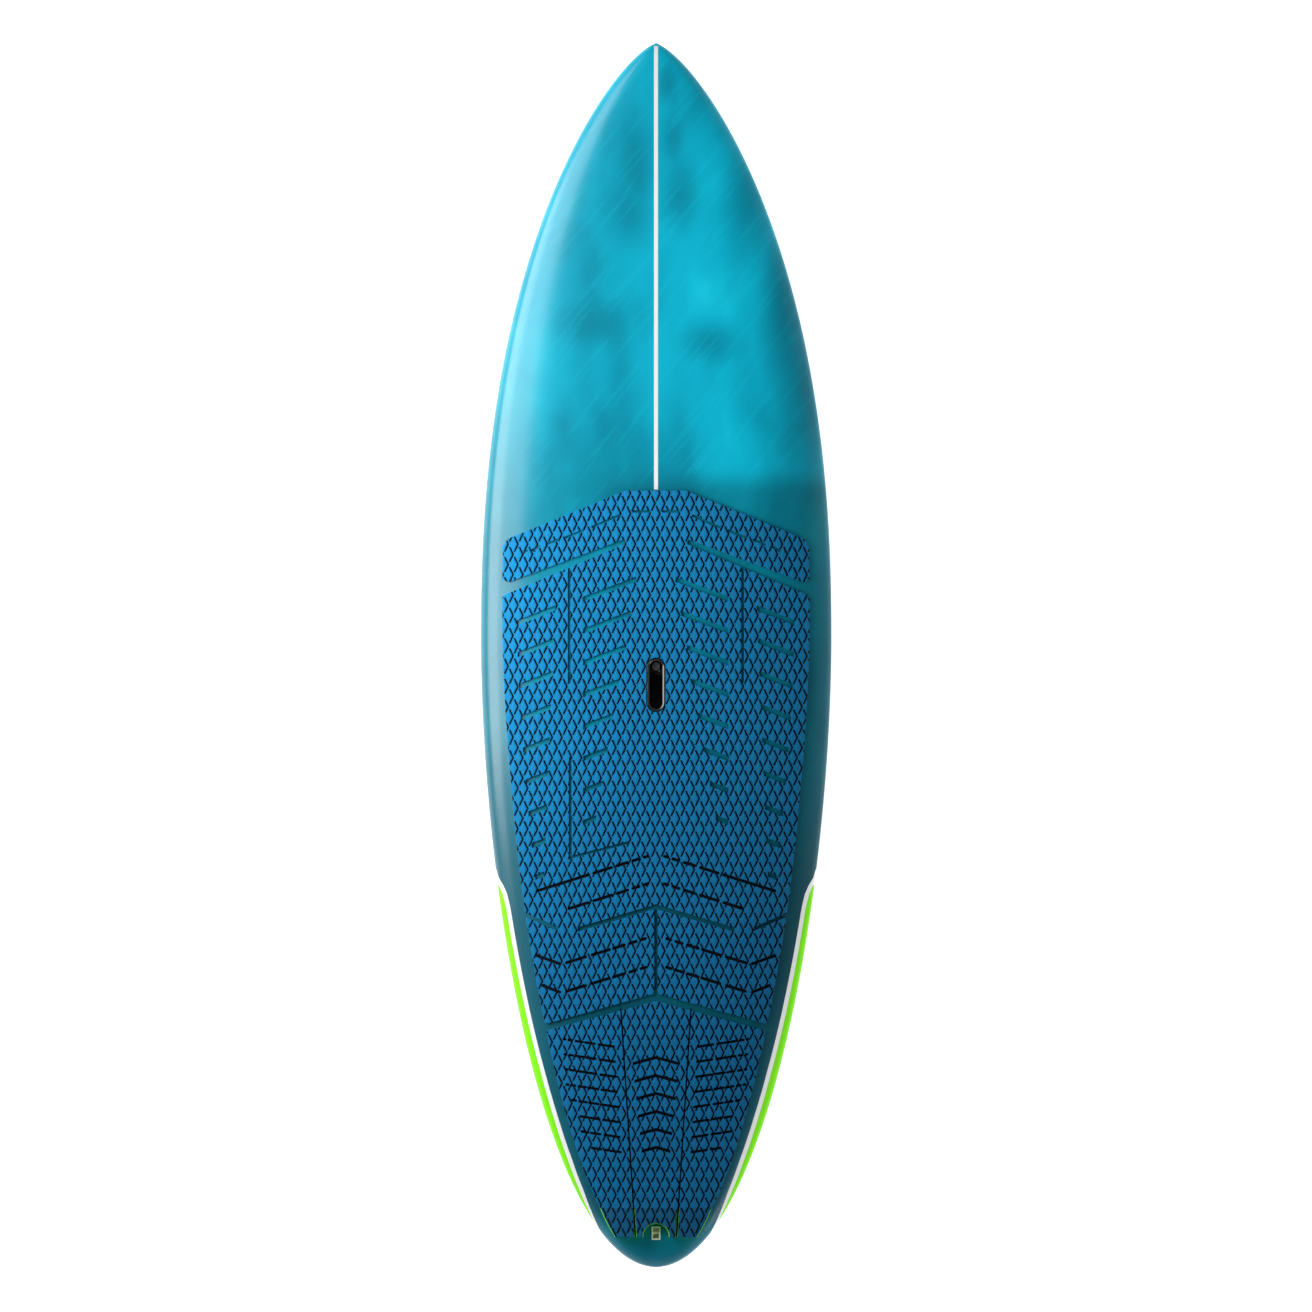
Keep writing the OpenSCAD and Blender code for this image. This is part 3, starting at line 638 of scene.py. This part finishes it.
def pad_piece(name, outline, cuts, grooves, floor, rise, studded):
    """A pad piece: its outline less the cuts, from floor(x, y) up by rise(y), with studs on top."""
    low, high = outline.min(0), outline.max(0)
    rings = []
    if studded:
        for row in range(int(low[1] // STUD_HALF_Y) - 1, int(high[1] // STUD_HALF_Y) + 3):
            for column in range(int(low[0] // STUD_HALF_X) - 1, int(high[0] // STUD_HALF_X) + 3):
                if (row + column) % 2 == 0:
                    rings.append((column * STUD_HALF_X, row * STUD_HALF_Y))
        centres = np.array(rings)
        near = inside(centres, outline) | (distance(centres, outline, 22) < 20)
        for cut in cuts:
            near &= ~(inside(centres, cut) & (distance(centres, cut, 22) >= 20))
        rings = [ring for x, y in centres[near] for ring in stud_rings(x, y)]
    edges = [outline, grown(outline, -EDGE_W)]
    for cut in cuts:
        edges += [cut, grown(cut, EDGE_W)]
    for groove in grooves:
        edges += [groove, grown(groove, -GROOVE_DRAFT)]
    folds = []
    if low[1] < KICK_FRONT_Y:
        folds.append(np.array([(low[0] - 5, KICK_FRONT_Y), (high[0] + 5, KICK_FRONT_Y)]))
    points, triangles = divide(edges + rings + folds)
    middles = points[triangles].mean(1)
    keep = inside(middles, outline)
    for cut in cuts:
        keep &= ~inside(middles, cut)
    triangles = triangles[keep]
    used, triangles = np.unique(triangles, return_inverse=True)
    triangles = triangles.reshape(-1, 3)
    points = points[used]
    x, y = points[:, 0], points[:, 1]

    edge_gap = distance(points, outline, EDGE_W)
    for cut in cuts:
        edge_gap = np.minimum(edge_gap, distance(points, cut, EDGE_W))
    relief = -EDGE_DROP * (1 - edge_gap / EDGE_W)
    groove = np.zeros(len(points))
    if studded:
        groove, rise_share = stud_relief(x, y)
        relief = relief - STUD_DEPTH * groove + INSET_RISE * rise_share
    for shape in grooves:
        depth = np.where(inside(points, shape), distance(points, shape, GROOVE_DRAFT) / GROOVE_DRAFT, 0)
        relief = relief * (1 - depth) - GROOVE_DEPTH * depth
        groove = np.maximum(groove, depth)
    base = floor(x, y)
    top = base + rise(y) + np.minimum(relief, INSET_RISE)

    sides = np.concatenate([triangles[:, [0, 1]], triangles[:, [1, 2]], triangles[:, [2, 0]]])
    sides = np.sort(sides, axis=1)
    sides, times = np.unique(sides, axis=0, return_counts=True)
    border = sides[times == 1]
    rim_points, rim_border = np.unique(border, return_inverse=True)
    rim_border = rim_border.reshape(-1, 2)
    under = np.stack([x, y, base], axis=1)[rim_points]
    columns, lines = (np.arange(low[i], high[i], FACE_STEP) for i in (0, 1))
    grid = np.stack(np.meshgrid(columns, lines), 2).reshape(-1, 2) + 7.0
    clear = inside(grid, outline) & (distance(grid, outline, 5) > 4)
    for cut in cuts:
        clear &= ~inside(grid, cut) & (distance(grid, cut, 5) > 4)
    spread = [Vector(p) for p in under[:, :2]] + [Vector(p) for p in grid[clear]]
    got = delaunay_2d_cdt(spread, [tuple(map(int, e)) for e in rim_border], [], 0, 1e-5, True)
    floor_points = np.array([tuple(p) for p in got[0]])
    floor_faces = np.array(got[2])
    middles = floor_points[floor_faces].mean(1)
    keep = inside(middles, outline)
    for cut in cuts:
        keep &= ~inside(middles, cut)
    floor_faces = floor_faces[keep]
    count = len(points)
    rows = np.concatenate([
        np.stack([x, y, top], axis=1),
        np.column_stack([floor_points, floor(floor_points[:, 0], floor_points[:, 1])]),
    ])
    match = {source: made for made, sources in enumerate(got[3]) for source in sources}
    walls = [
        (int(rim_points[a]), int(rim_points[b]), count + match[int(b)], count + match[int(a)])
        for a, b in rim_border
    ]
    faces = triangles.tolist() + (floor_faces + count).tolist() + walls
    obj = solid(name, rows, faces)
    obj.data.attributes.new("groove", "FLOAT", "POINT").data.foreach_set(
        "value", np.concatenate([groove, np.ones(len(floor_points))])
    )
    return obj


def deck_floor(x, y):
    return deck_height(x, y)


def kick_top(x, y):
    return deck_height(x, y) + kick_lift(y)


def full_pad(y):
    return np.full(np.shape(y), PAD_T)


KICK_INSET = 1.4
pads = []
for name, outline, cuts, grooves in (
    ("pad_main", main_outline, main_cuts, main_grooves),
    ("pad_tail_right", tail_side_outline(KICK_INSET), [], side_grooves),
    ("pad_tail_left", flipped(tail_side_outline(KICK_INSET)), [], [flipped(g) for g in side_grooves]),
    ("pad_tail_centre", tail_middle_outline(KICK_INSET), [], middle_grooves),
):
    pad = pad_piece(name + "_studded", outline, cuts, grooves, kick_top, full_pad, True)
    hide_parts(name)
    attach(pad, "board")
    pads.append(pad)


def below(outline, level):
    """The part of an outline behind a station."""
    kept = []
    for (ax, ay), (bx, by) in zip(outline, np.roll(outline, -1, axis=0)):
        if ay <= level:
            kept.append((ax, ay))
        if (ay - level) * (by - level) < 0:
            kept.append((ax + (level - ay) / (by - ay) * (bx - ax), level))
    return np.array(kept)


wedges = []
for name, outline in (
    ("kick_wedge_right", tail_side_outline(0.0)),
    ("kick_wedge_left", flipped(tail_side_outline(0.0))),
    ("kick_wedge_centre", tail_middle_outline(0.0)),
):
    outline = below(outline, KICK_FRONT_Y - 0.01)
    wedge = pad_piece(name + "_foam", outline, [], [], deck_floor, kick_lift, False)
    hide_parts(name)
    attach(wedge, "board")
    wedges.append(wedge)


# --- Handle, vent and leash plug --------------------------------------------------------------

def copy_of(node, name):
    """A new object with the shape of a CAD node, its doubled points welded."""
    mesh = nodes[node].data.copy()
    mesh.materials.clear()
    work = bmesh.new()
    work.from_mesh(mesh)
    bmesh.ops.remove_doubles(work, verts=work.verts, dist=0.000002)
    work.to_mesh(mesh)
    work.free()
    return add_object(name, mesh)


RIM_PROFILE = [
    (13.0, -11.8), (17.0, -11.8), (17.0, 3.0), (16.75, 3.65), (16.1, 4.05), (15.3, 4.2), (14.9, 4.0),
    (14.5, 3.8), (12.5, 2.6), (12.3, 1.9), (12.25, -2.0), (12.2, -6.0), (12.15, -9.0),
    (12.1, -11.0), (12.4, -11.6),
]
CUT_LEVEL = -11.7


def swept_rim(name, profile):
    """A ring that follows the handle's slot outline, from (half width, height) points."""
    loops, points = [], []
    for half, height in profile:
        loops.append(list(range(len(points), len(points) + 66)))
        points += [(x, y, height) for x, y in stadium(2 * half, 2 * half + 66, 32)]
    loops.append(loops[0])
    obj = solid(name, points, ring_walls(loops))
    obj.data.transform(AT_HANDLE)
    return obj


tub = copy_of("handle_cup", "handle_cup_tub")
combine(tub, [prism("tub_top", stadium(60, 160), CUT_LEVEL, 40, AT_HANDLE)], "DIFFERENCE")
smooth(tub, 30)
rim = smooth(swept_rim("handle_rim", RIM_PROFILE), 40)
for piece in (tub, rim):
    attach(piece, "board")
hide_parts("handle_cup")
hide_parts("handle_cup")
bevel(nodes["handle_floor"], 0.8)
bevel(nodes["vent_plug"], 0.7)
bevel(nodes["vent_body"], 0.4)
bevel(nodes["leash_plug"], 0.6)
bevel(nodes["leash_pin"], 0.3)


# --- Fins -------------------------------------------------------------------------------------

FIN_RINGS = 33
FOIL_STEPS = 25


def merge(obj, other):
    """Adds another object's mesh to this one, and removes it."""
    work = bmesh.new()
    work.from_mesh(obj.data)
    work.from_mesh(other.data)
    work.to_mesh(obj.data)
    work.free()
    bpy.data.objects.remove(other)
    return obj


def blade(name, height, base, rake, thick, side):
    """A foiled blade hanging down from a fin's frame. A side fin is flatter on its inner face."""
    start = 0.9
    spans = np.minimum(np.sin(np.linspace(0, math.pi / 2, FIN_RINGS)), 0.995)
    chord = (1 - np.cos(np.linspace(0, math.pi, FOIL_STEPS))) / 2
    share = np.concatenate([chord, chord[-2:0:-1]])
    turn = np.concatenate([np.ones(FOIL_STEPS), -np.ones(FOIL_STEPS - 2)])
    foil = 0.2969 * np.sqrt(share) - 0.126 * share - 0.3516 * share**2
    foil = 5 * (foil + 0.2843 * share**3 - 0.1036 * share**4)
    bulge = np.ones(len(turn)) if side == 0 else np.where(turn == side, 1.7, 0.15)
    points, loops = [], []
    for s in spans:
        lead = base * 0.45 - rake * s**1.7
        trail = -base * 0.55 - rake * 0.36 * s**1.6 + base * 0.09 * math.sin(math.pi * s)
        half = (lead - trail) / 2 * math.sqrt(1 - s**7)
        wide = max(thick * (2 * half / base) ** 0.8, 0.8)
        x = turn * (wide * foil * bulge + 0.25)
        y = (lead + trail) / 2 + half - 2 * half * share
        loops.append(list(range(len(points), len(points) + len(share))))
        points += [(a, b, -start - s * (height - start)) for a, b in zip(x, y)]
    ends = [tuple(loops[0][::-1]), tuple(loops[-1])]
    return solid(name, points, [*ring_walls(loops), *ends])


def fin(name, node, matrix, body, *shape):
    """A smooth blade on the tab of its CAD node."""
    made = blade(name, *shape)
    made.data.transform(matrix)
    tab = copy_of(node, name + "_tab")
    big = [(-60, -260), (60, -260), (60, 160), (-60, 160)]
    combine(tab, [prism("blade_cut", big, -220, -1.2, matrix)], "DIFFERENCE")
    merge(made, tab)
    smooth(made, 32)
    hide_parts(node)
    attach(made, body)
    return made


fins = [
    fin("centre_fin_blade", "centre_fin", AT_CENTRE_FIN, "centre_fin", 160, 128, 158, 8.6, 0),
    fin("left_fin_blade", "side_fin_left", at_side_fin(-1), "left_fin", 112, 108, 104, 5.4, -1),
    fin("right_fin_blade", "side_fin_right", at_side_fin(1), "right_fin", 112, 108, 104, 5.4, 1),
]


# --- Materials --------------------------------------------------------------------------------

def srgb(red, green, blue):
    """A linear colour from 8-bit sRGB values."""
    shares = [v / 255 for v in (red, green, blue)]
    return (*[v / 12.92 if v <= 0.04045 else ((v + 0.055) / 1.055) ** 2.4 for v in shares], 1.0)


class Finish:
    """A node material built up step by step. Each method adds one node and returns its output."""

    def __init__(self, name, roughness, specular=0.5, coat=0.0, coat_roughness=0.1, metallic=0.0):
        self.material = bpy.data.materials.new(name)
        self.material.use_nodes = True
        self.nodes = self.material.node_tree.nodes
        self.links = self.material.node_tree.links
        self.shader = self.nodes["Principled BSDF"]
        self.shader.inputs["Roughness"].default_value = roughness
        self.shader.inputs["Specular IOR Level"].default_value = specular
        self.shader.inputs["Coat Weight"].default_value = coat
        self.shader.inputs["Coat Roughness"].default_value = coat_roughness
        self.shader.inputs["Metallic"].default_value = metallic
        self.place = self.nodes.new("ShaderNodeTexCoord").outputs["Object"]
        split = self.nodes.new("ShaderNodeSeparateXYZ")
        self.put(split.inputs[0], self.place)
        self.x, self.y, self.z = split.outputs

    def put(self, socket, value):
        if isinstance(value, bpy.types.NodeSocket):
            self.links.new(value, socket)
        else:
            socket.default_value = value

    def calc(self, operation, a, b=0.0):
        node = self.nodes.new("ShaderNodeMath")
        node.operation = operation
        self.put(node.inputs[0], a)
        self.put(node.inputs[1], b)
        return node.outputs[0]

    def level(self, value, low, high, out_low=0.0, out_high=1.0):
        """Maps low to high onto out_low to out_high with soft ends."""
        node = self.nodes.new("ShaderNodeMapRange")
        node.interpolation_type = "SMOOTHSTEP"
        for socket, number in zip(node.inputs, (value, low, high, out_low, out_high)):
            self.put(socket, number)
        return node.outputs[0]

    def attribute(self, name):
        node = self.nodes.new("ShaderNodeAttribute")
        node.attribute_name = name
        return node.outputs["Fac"]

    def shifted(self, scale, move=(0.0, 0.0, 0.0)):
        node = self.nodes.new("ShaderNodeMapping")
        self.put(node.inputs["Vector"], self.place)
        node.inputs["Location"].default_value = move
        node.inputs["Scale"].default_value = scale
        return node.outputs[0]

    def slanted(self, turn, along, across):
        """Coordinates turned by an angle, then stretched along that direction."""
        node = self.nodes.new("ShaderNodeMapping")
        node.vector_type = "TEXTURE"
        self.put(node.inputs["Vector"], self.place)
        node.inputs["Rotation"].default_value = (0, 0, turn)
        node.inputs["Scale"].default_value = (1 / along, 1 / across, 1)
        return node.outputs[0]

    def noise(self, scale, detail=2.0, roughness=0.5, vector=None):
        node = self.nodes.new("ShaderNodeTexNoise")
        self.put(node.inputs["Vector"], vector or self.place)
        node.inputs["Scale"].default_value = scale
        node.inputs["Detail"].default_value = detail
        node.inputs["Roughness"].default_value = roughness
        return node.outputs["Fac"]

    def blob(self, x, y, half_x, half_y):
        """A soft spot: 1 at a point of the deck, in metres, fading to 0 at its edge."""
        node = self.nodes.new("ShaderNodeVectorMath")
        node.operation = "LENGTH"
        flat = (1 / half_x, 1 / half_y, 0)
        self.put(node.inputs[0], self.shifted(flat, move=(-x / half_x, -y / half_y, 0)))
        return self.level(node.outputs["Value"], 1.0, 0.0)

    def mix(self, share, a, b, blend="MIX"):
        node = self.nodes.new("ShaderNodeMix")
        node.data_type = "RGBA"
        node.blend_type = blend
        self.put(node.inputs[0], share)
        self.put(node.inputs[6], a)
        self.put(node.inputs[7], b)
        return node.outputs[2]

    def tint(self, colour, factor):
        """A colour made darker or lighter by a factor."""
        node = self.nodes.new("ShaderNodeVectorMath")
        node.operation = "SCALE"
        self.put(node.inputs[0], colour if isinstance(colour, bpy.types.NodeSocket) else colour[:3])
        self.put(node.inputs["Scale"], factor)
        return node.outputs[0]

    def colour(self, value):
        self.put(self.shader.inputs["Base Color"], value)

    def roughen(self, value):
        self.put(self.shader.inputs["Roughness"], value)

    def bump(self, height, distance, strength=1.0, coat=False):
        node = self.nodes.new("ShaderNodeBump")
        node.inputs["Strength"].default_value = strength
        node.inputs["Distance"].default_value = distance
        self.put(node.inputs["Height"], height)
        self.put(self.shader.inputs["Normal"], node.outputs[0])
        if coat:
            self.put(self.shader.inputs["Coat Normal"], node.outputs[0])

    def on(self, *objects):
        for obj in objects:
            obj.data.materials.clear()
            obj.data.materials.append(self.material)


LIME = srgb(128, 236, 0)
WHITE = srgb(246, 248, 248)
TEAL = srgb(6, 170, 198)
TEAL_LIGHT = srgb(20, 190, 214)
TEAL_DARK = srgb(2, 128, 152)
PETROL = srgb(3, 102, 122)


def across_painted_shade(paint, colour):
    """Painted shade: the foam is painted darker from the left rail to the right one, away from the light."""
    return paint.tint(colour, paint.level(paint.x, -0.33, 0.36, 1.30, 0.70))


def deck_painted_shade(paint, colour):
    """Painted shade and light: the deck is painted darker at the left rail's edge and at the right rail,
    darker toward the right behind about 0.3 m and lighter toward the right ahead of it, and painted lighter
    behind the kick, against the kick's shade.
    """
    colour = paint.tint(colour, paint.level(paint.x, -0.33, -0.20, 0.46, 1.0))
    bright = paint.tint(colour, paint.level(paint.x, -0.20, 0.08, 1.0, 1.24))
    plain = paint.tint(colour, paint.level(paint.x, -0.20, 0.16, 0.92, 0.66))
    colour = paint.mix(paint.level(paint.y, 0.30, 0.36), plain, bright)
    colour = paint.tint(colour, paint.level(paint.x, 0.17, 0.30, 1.0, 0.62))
    return paint.tint(colour, paint.level(paint.y, -1.03, -1.09, 1.0, 1.75))


def painted_slit_shade(paint, colour):
    """Painted shade: the deck is painted near black where it shows at the foot of the two narrow slits
    between the tail pads, where shade falls.
    """
    slit = paint.calc("MULTIPLY_ADD", paint.y, SLIT_SLOPE)
    slit.node.inputs[2].default_value = float(slit_x(0)) * MM
    off = paint.calc("ABSOLUTE", paint.calc("SUBTRACT", paint.calc("ABSOLUTE", paint.x), slit))
    under = paint.calc("MULTIPLY", paint.level(off, 0.0026, 0.0016), paint.level(paint.y, -0.655, -0.662))
    under = paint.calc("MULTIPLY", under, paint.level(paint.y, -1.087, -1.084))
    return paint.mix(under, colour, srgb(2, 18, 26))


def add_bands(paint, colour):
    """The white and lime bands along the tail, with crisp edges."""
    white = paint.level(paint.attribute("in_white"), -0.25, 0.25)
    lime = paint.level(paint.attribute("in_lime"), -0.25, 0.25)
    soft = paint.level(paint.noise(40.0, 2.0), 0.0, 1.0, 0.97, 1.0)
    colour = paint.mix(white, colour, paint.tint(WHITE, soft))
    gloss = paint.level(paint.attribute("in_white"), -0.25, 0.25, 1.0, 0.2)
    gloss = paint.calc("MULTIPLY", gloss, paint.level(paint.x, -0.05, 0.2, 1.0, 0.3))
    paint.put(paint.shader.inputs["Coat Weight"], gloss)
    return paint.mix(lime, colour, paint.tint(LIME, soft))


deck_paint = Finish("deck_paint", 0.5, specular=0.1, coat=1.0, coat_roughness=0.22)
cloud = deck_paint.noise(3.2, 3.0, 0.55, deck_paint.shifted((1.6, 0.8, 1.0), move=(3.1, 7.4, 0)))
wash = deck_paint.mix(deck_paint.level(cloud, 0.22, 0.6), TEAL_DARK, TEAL)
wash = deck_paint.mix(deck_paint.level(cloud, 0.56, 0.72), wash, TEAL_LIGHT)
shade = None
for spot in (
    (-0.034, 0.905, 0.045, 0.15), (-0.05, 0.83, 0.06, 0.10), (0.032, 0.97, 0.035, 0.07),
    (0.022, 1.07, 0.028, 0.06), (0.045, 0.86, 0.05, 0.10), (0.17, 0.84, 0.07, 0.17),
    (0.235, 0.66, 0.06, 0.22), (-0.12, 0.62, 0.11, 0.07), (0.10, 0.585, 0.09, 0.06),
):
    found = deck_paint.blob(*spot)
    shade = found if shade is None else deck_paint.calc("MAXIMUM", shade, found)
wash = deck_paint.mix(deck_paint.calc("MULTIPLY", shade, 0.85), wash, TEAL_DARK)
streak = deck_paint.noise(1.0, 1.0, 0.5, deck_paint.slanted(math.radians(50), 7.0, 85.0))
dots = deck_paint.noise(900.0, 0.0)
glint = deck_paint.calc("MULTIPLY", deck_paint.level(streak, 0.56, 0.66), deck_paint.level(dots, 0.42, 0.6))
wash = deck_paint.mix(deck_paint.calc("MULTIPLY", glint, 0.3), wash, TEAL_LIGHT)
tail = deck_paint.level(deck_paint.y, 0.12, -0.62)
deep = deck_paint.tint(PETROL, deck_paint.level(cloud, 0.3, 0.7, 0.85, 1.15))
# Painted shade and light across the deck, lighter behind the kick.
wash = deck_painted_shade(deck_paint, deck_paint.mix(tail, wash, deep))
# Painted shade at the foot of the slits between the tail pads.
wash = painted_slit_shade(deck_paint, wash)
deck_paint.colour(add_bands(deck_paint, wash))
deck_paint.bump(deck_paint.noise(160.0, 2.0), 0.0001, 0.25)
deck_paint.on(deck)

hull_paint = Finish("hull_paint", 0.38, specular=0.25, coat=1.0, coat_roughness=0.14)
cloud = hull_paint.noise(2.4, 3.0, 0.55, hull_paint.shifted((1.6, 0.8, 1.0)))
wash = hull_paint.mix(hull_paint.level(cloud, 0.35, 0.68), TEAL_DARK, TEAL)
tail = hull_paint.level(hull_paint.y, 0.3, -0.5)
hull_paint.colour(add_bands(hull_paint, hull_paint.mix(tail, wash, PETROL)))
hull_paint.bump(hull_paint.noise(160.0, 2.0), 0.0001, 0.25)
hull_paint.on(hull)

line_paint = Finish("pinline_paint", 0.4, specular=0.3, coat=0.6)
line_paint.colour(line_paint.tint(WHITE, line_paint.level(line_paint.noise(30.0), 0.2, 0.8, 0.96, 1.0)))
line_paint.on(pinline)


def foam_finish(name, top_front, top_back, groove_shade_colour, kick_shade):
    """Closed-cell foam: fine grain, a tone that deepens toward the tail, painted shade over the kick, and
    groove floors and underside painted dark as shade.
    """
    paint = Finish(name, 0.62, specular=0.12)
    back = paint.level(paint.y, 0.15, -0.72)
    # Painted shade: the pad is painted darker from the left rail to the right one.
    tone = across_painted_shade(paint, paint.mix(back, top_front, top_back))
    # Painted shade: the pad over the kick is painted darker.
    tone = paint.tint(tone, paint.level(paint.y, -1.028, -1.034, 1.0, kick_shade))
    grain = paint.noise(1500.0, 2.0, 0.7)
    patch = paint.noise(6.0, 3.0)
    tone = paint.tint(tone, paint.level(grain, 0.2, 0.8, 0.92, 1.06))
    tone = paint.tint(tone, paint.level(patch, 0.3, 0.7, 0.96, 1.04))
    # Painted shade: groove floors and the hidden underside are painted dark.
    low = paint.level(paint.attribute("groove"), 0.7, 1.0)
    paint.colour(paint.mix(low, tone, groove_shade_colour))
    paint.roughen(paint.level(grain, 0.2, 0.8, 0.55, 0.72))
    paint.bump(grain, 0.00012, 0.5)
    return paint


# Painted shade: near black groove floors on the pads, dark green under the kick wedges, and the pads over the
# kick darker.
foam_finish("pad_foam", srgb(17, 126, 180), srgb(8, 101, 149), srgb(0, 9, 20), 0.6).on(*pads)
foam_finish("kick_foam", srgb(120, 226, 20), srgb(116, 220, 16), srgb(70, 150, 10), 1.0).on(*wedges)


def plain_finish(
    name, base, scale, spread, roughness, specular=0.5, metallic=0.0, stretch=(1, 1, 1), grain=0.00004
):
    """A tone that varies by spread with a fine texture, for the moulded and machined parts."""
    paint = Finish(name, roughness, specular=specular, metallic=metallic)
    texture = paint.noise(scale, 3.0, 0.6, paint.shifted(stretch))
    paint.colour(paint.tint(base, paint.level(texture, 0.25, 0.75, 1 - spread, 1 + spread)))
    paint.roughen(paint.level(texture, 0.25, 0.75, roughness * 0.85, min(roughness * 1.2, 1)))
    paint.bump(texture, grain, 0.4)
    return paint


def cad(*names):
    return [nodes[n] for n in names]


plain_finish("black_plastic", srgb(22, 22, 23), 700, 0.15, 0.32).on(tub)
plain_finish("gloss_black_plastic", srgb(9, 9, 10), 700, 0.15, 0.2, specular=0.65).on(rim)
plain_finish("handle_panel", srgb(86, 86, 88), 500, 0.12, 0.5).on(*cad("handle_floor"))
plain_finish("vent_plastic", srgb(62, 63, 65), 700, 0.12, 0.4).on(*cad("vent_plug", "vent_body"))
plain_finish("membrane", srgb(230, 230, 228), 2500, 0.06, 0.9).on(*cad("vent_membrane"))
plain_finish("seal_rubber", srgb(24, 24, 24), 900, 0.15, 0.6).on(*cad("vent_o_ring"))
plain_finish("plug_plastic", srgb(238, 246, 222), 400, 0.06, 0.42).on(*cad("leash_plug", "leash_pin"))
plain_finish("stainless", srgb(206, 208, 206), 300, 0.08, 0.28, metallic=1.0, stretch=(1, 8, 8)).on(
    *cad("fin_screw", "grub_screw_left", "grub_screw_right")
)
plain_finish("box_plastic", srgb(214, 218, 214), 500, 0.05, 0.45).on(
    *cad("centre_fin_box", "side_fin_box_left", "side_fin_box_right")
)
plain_finish("fin_composite", srgb(26, 28, 31), 60, 0.35, 0.22, stretch=(1, 12, 2)).on(*fins)
plain_finish("brass", srgb(214, 180, 96), 300, 0.1, 0.3, metallic=1.0).on(
    *cad("fin_cross_pin", "fin_nut_plate")
)
plain_finish("foam_core", srgb(244, 244, 240), 260, 0.05, 0.9, grain=0.0003).on(
    *cad("foam_core_left", "foam_core_right")
)
plain_finish("stringer_wood", srgb(214, 188, 140), 40, 0.16, 0.7, stretch=(1, 0.08, 1)).on(*cad("stringer"))
plain_finish("sandwich_sheet", srgb(228, 216, 186), 320, 0.06, 0.8).on(
    *cad("deck_sandwich", "bottom_sandwich")
)


# --- Floor, light and camera ------------------------------------------------------------------

# The floor lies under the centre fin's tip and the lowest part of the bottom ahead of the flat.
# The gap leaves room for the centre fin, which comes 4.5 mm nearer the floor as it slides forward.
FLOOR_SIZE = 30.0
FLOOR_TILT = math.radians(4.5)
FLOOR_TOUCH_Y = 0.504
FLOOR_TOUCH_Z = 0.0097
FLOOR_GAP = 0.005
floor_mesh = bpy.data.meshes.new("floor")
half = FLOOR_SIZE / 2
floor_corners = [(-half, -half, 0), (half, -half, 0), (half, half, 0), (-half, half, 0)]
floor_mesh.from_pydata(floor_corners, [], [(0, 1, 2, 3)])
floor_slab = add_object("floor", floor_mesh)
floor_slab.location = (0, FLOOR_TOUCH_Y, FLOOR_TOUCH_Z - FLOOR_GAP)
floor_slab.rotation_euler = (FLOOR_TILT, 0, 0)
floor_paint = Finish("floor_paint", 0.9, specular=0.0)
floor_cloud = floor_paint.level(floor_paint.noise(3.0), 0.2, 0.8, 0.985, 1.0)
floor_paint.colour(floor_paint.tint(srgb(250, 250, 250), floor_cloud))
floor_paint.shader.inputs["Emission Color"].default_value = (1, 1, 1, 1)
floor_paint.shader.inputs["Emission Strength"].default_value = 0.8
floor_paint.on(floor_slab)


def softbox(name, place, target, length, height, power):
    """A rectangular lamp aimed at a point, its length level."""
    lamp = bpy.data.lights.new(name, "AREA")
    lamp.shape = "RECTANGLE"
    lamp.size = length
    lamp.size_y = height
    lamp.energy = power
    obj = bpy.data.objects.new(name, lamp)
    obj.location = place
    obj.rotation_euler = (Vector(target) - Vector(place)).to_track_quat("-Z", "Y").to_euler()
    obj.visible_camera = False
    scene.collection.objects.link(obj)
    return obj


softbox("key_low", (-1.75, 0.38, 1.0), (-0.1, 0.2, 0.1), 1.7, 0.8, 30.0)
softbox("key_high", (-1.1, 0.5, 1.35), (-0.1, 0.25, 0.1), 1.7, 0.7, 15.0)
softbox("tail_fill", (1.5, -1.5, 0.9), (0.1, -0.85, 0.05), 1.0, 0.8, 9.0)

world = bpy.data.worlds.new("studio")
scene.world = world
world.use_nodes = True
tree = world.node_tree
facing = tree.nodes.new("ShaderNodeTexCoord").outputs["Generated"]
split = tree.nodes.new("ShaderNodeSeparateXYZ")
tree.links.new(facing, split.inputs[0])
ramp = tree.nodes.new("ShaderNodeValToRGB")
tree.links.new(split.outputs[2], ramp.inputs[0])
ramp.color_ramp.interpolation = "EASE"
stops = ((0.0, 0.9), (0.2, 1.1), (0.5, 0.8), (0.75, 0.1), (0.95, 0.0))
while len(ramp.color_ramp.elements) < len(stops):
    ramp.color_ramp.elements.new(0.5)
for element, (position, value) in zip(ramp.color_ramp.elements, stops):
    element.position = position
    element.color = (value, value, value, 1)
back = tree.nodes["Background"]
tree.links.new(ramp.outputs[0], back.inputs["Color"])
back.inputs["Strength"].default_value = 0.8

VIEW_WIDTH = 2.4508
CAMERA_HEIGHT = 27.0
camera_data = bpy.data.cameras.new("camera")
camera_data.sensor_width = 36.0
camera_data.lens = 36.0 * (CAMERA_HEIGHT - HANDLE_TOP * MM) / VIEW_WIDTH
camera_data.clip_end = 200.0
camera = bpy.data.objects.new("camera", camera_data)
camera.location = (0, 0, CAMERA_HEIGHT)
scene.collection.objects.link(camera)
scene.camera = camera
scene.view_settings.view_transform = "Standard"
scene.view_settings.look = "None"
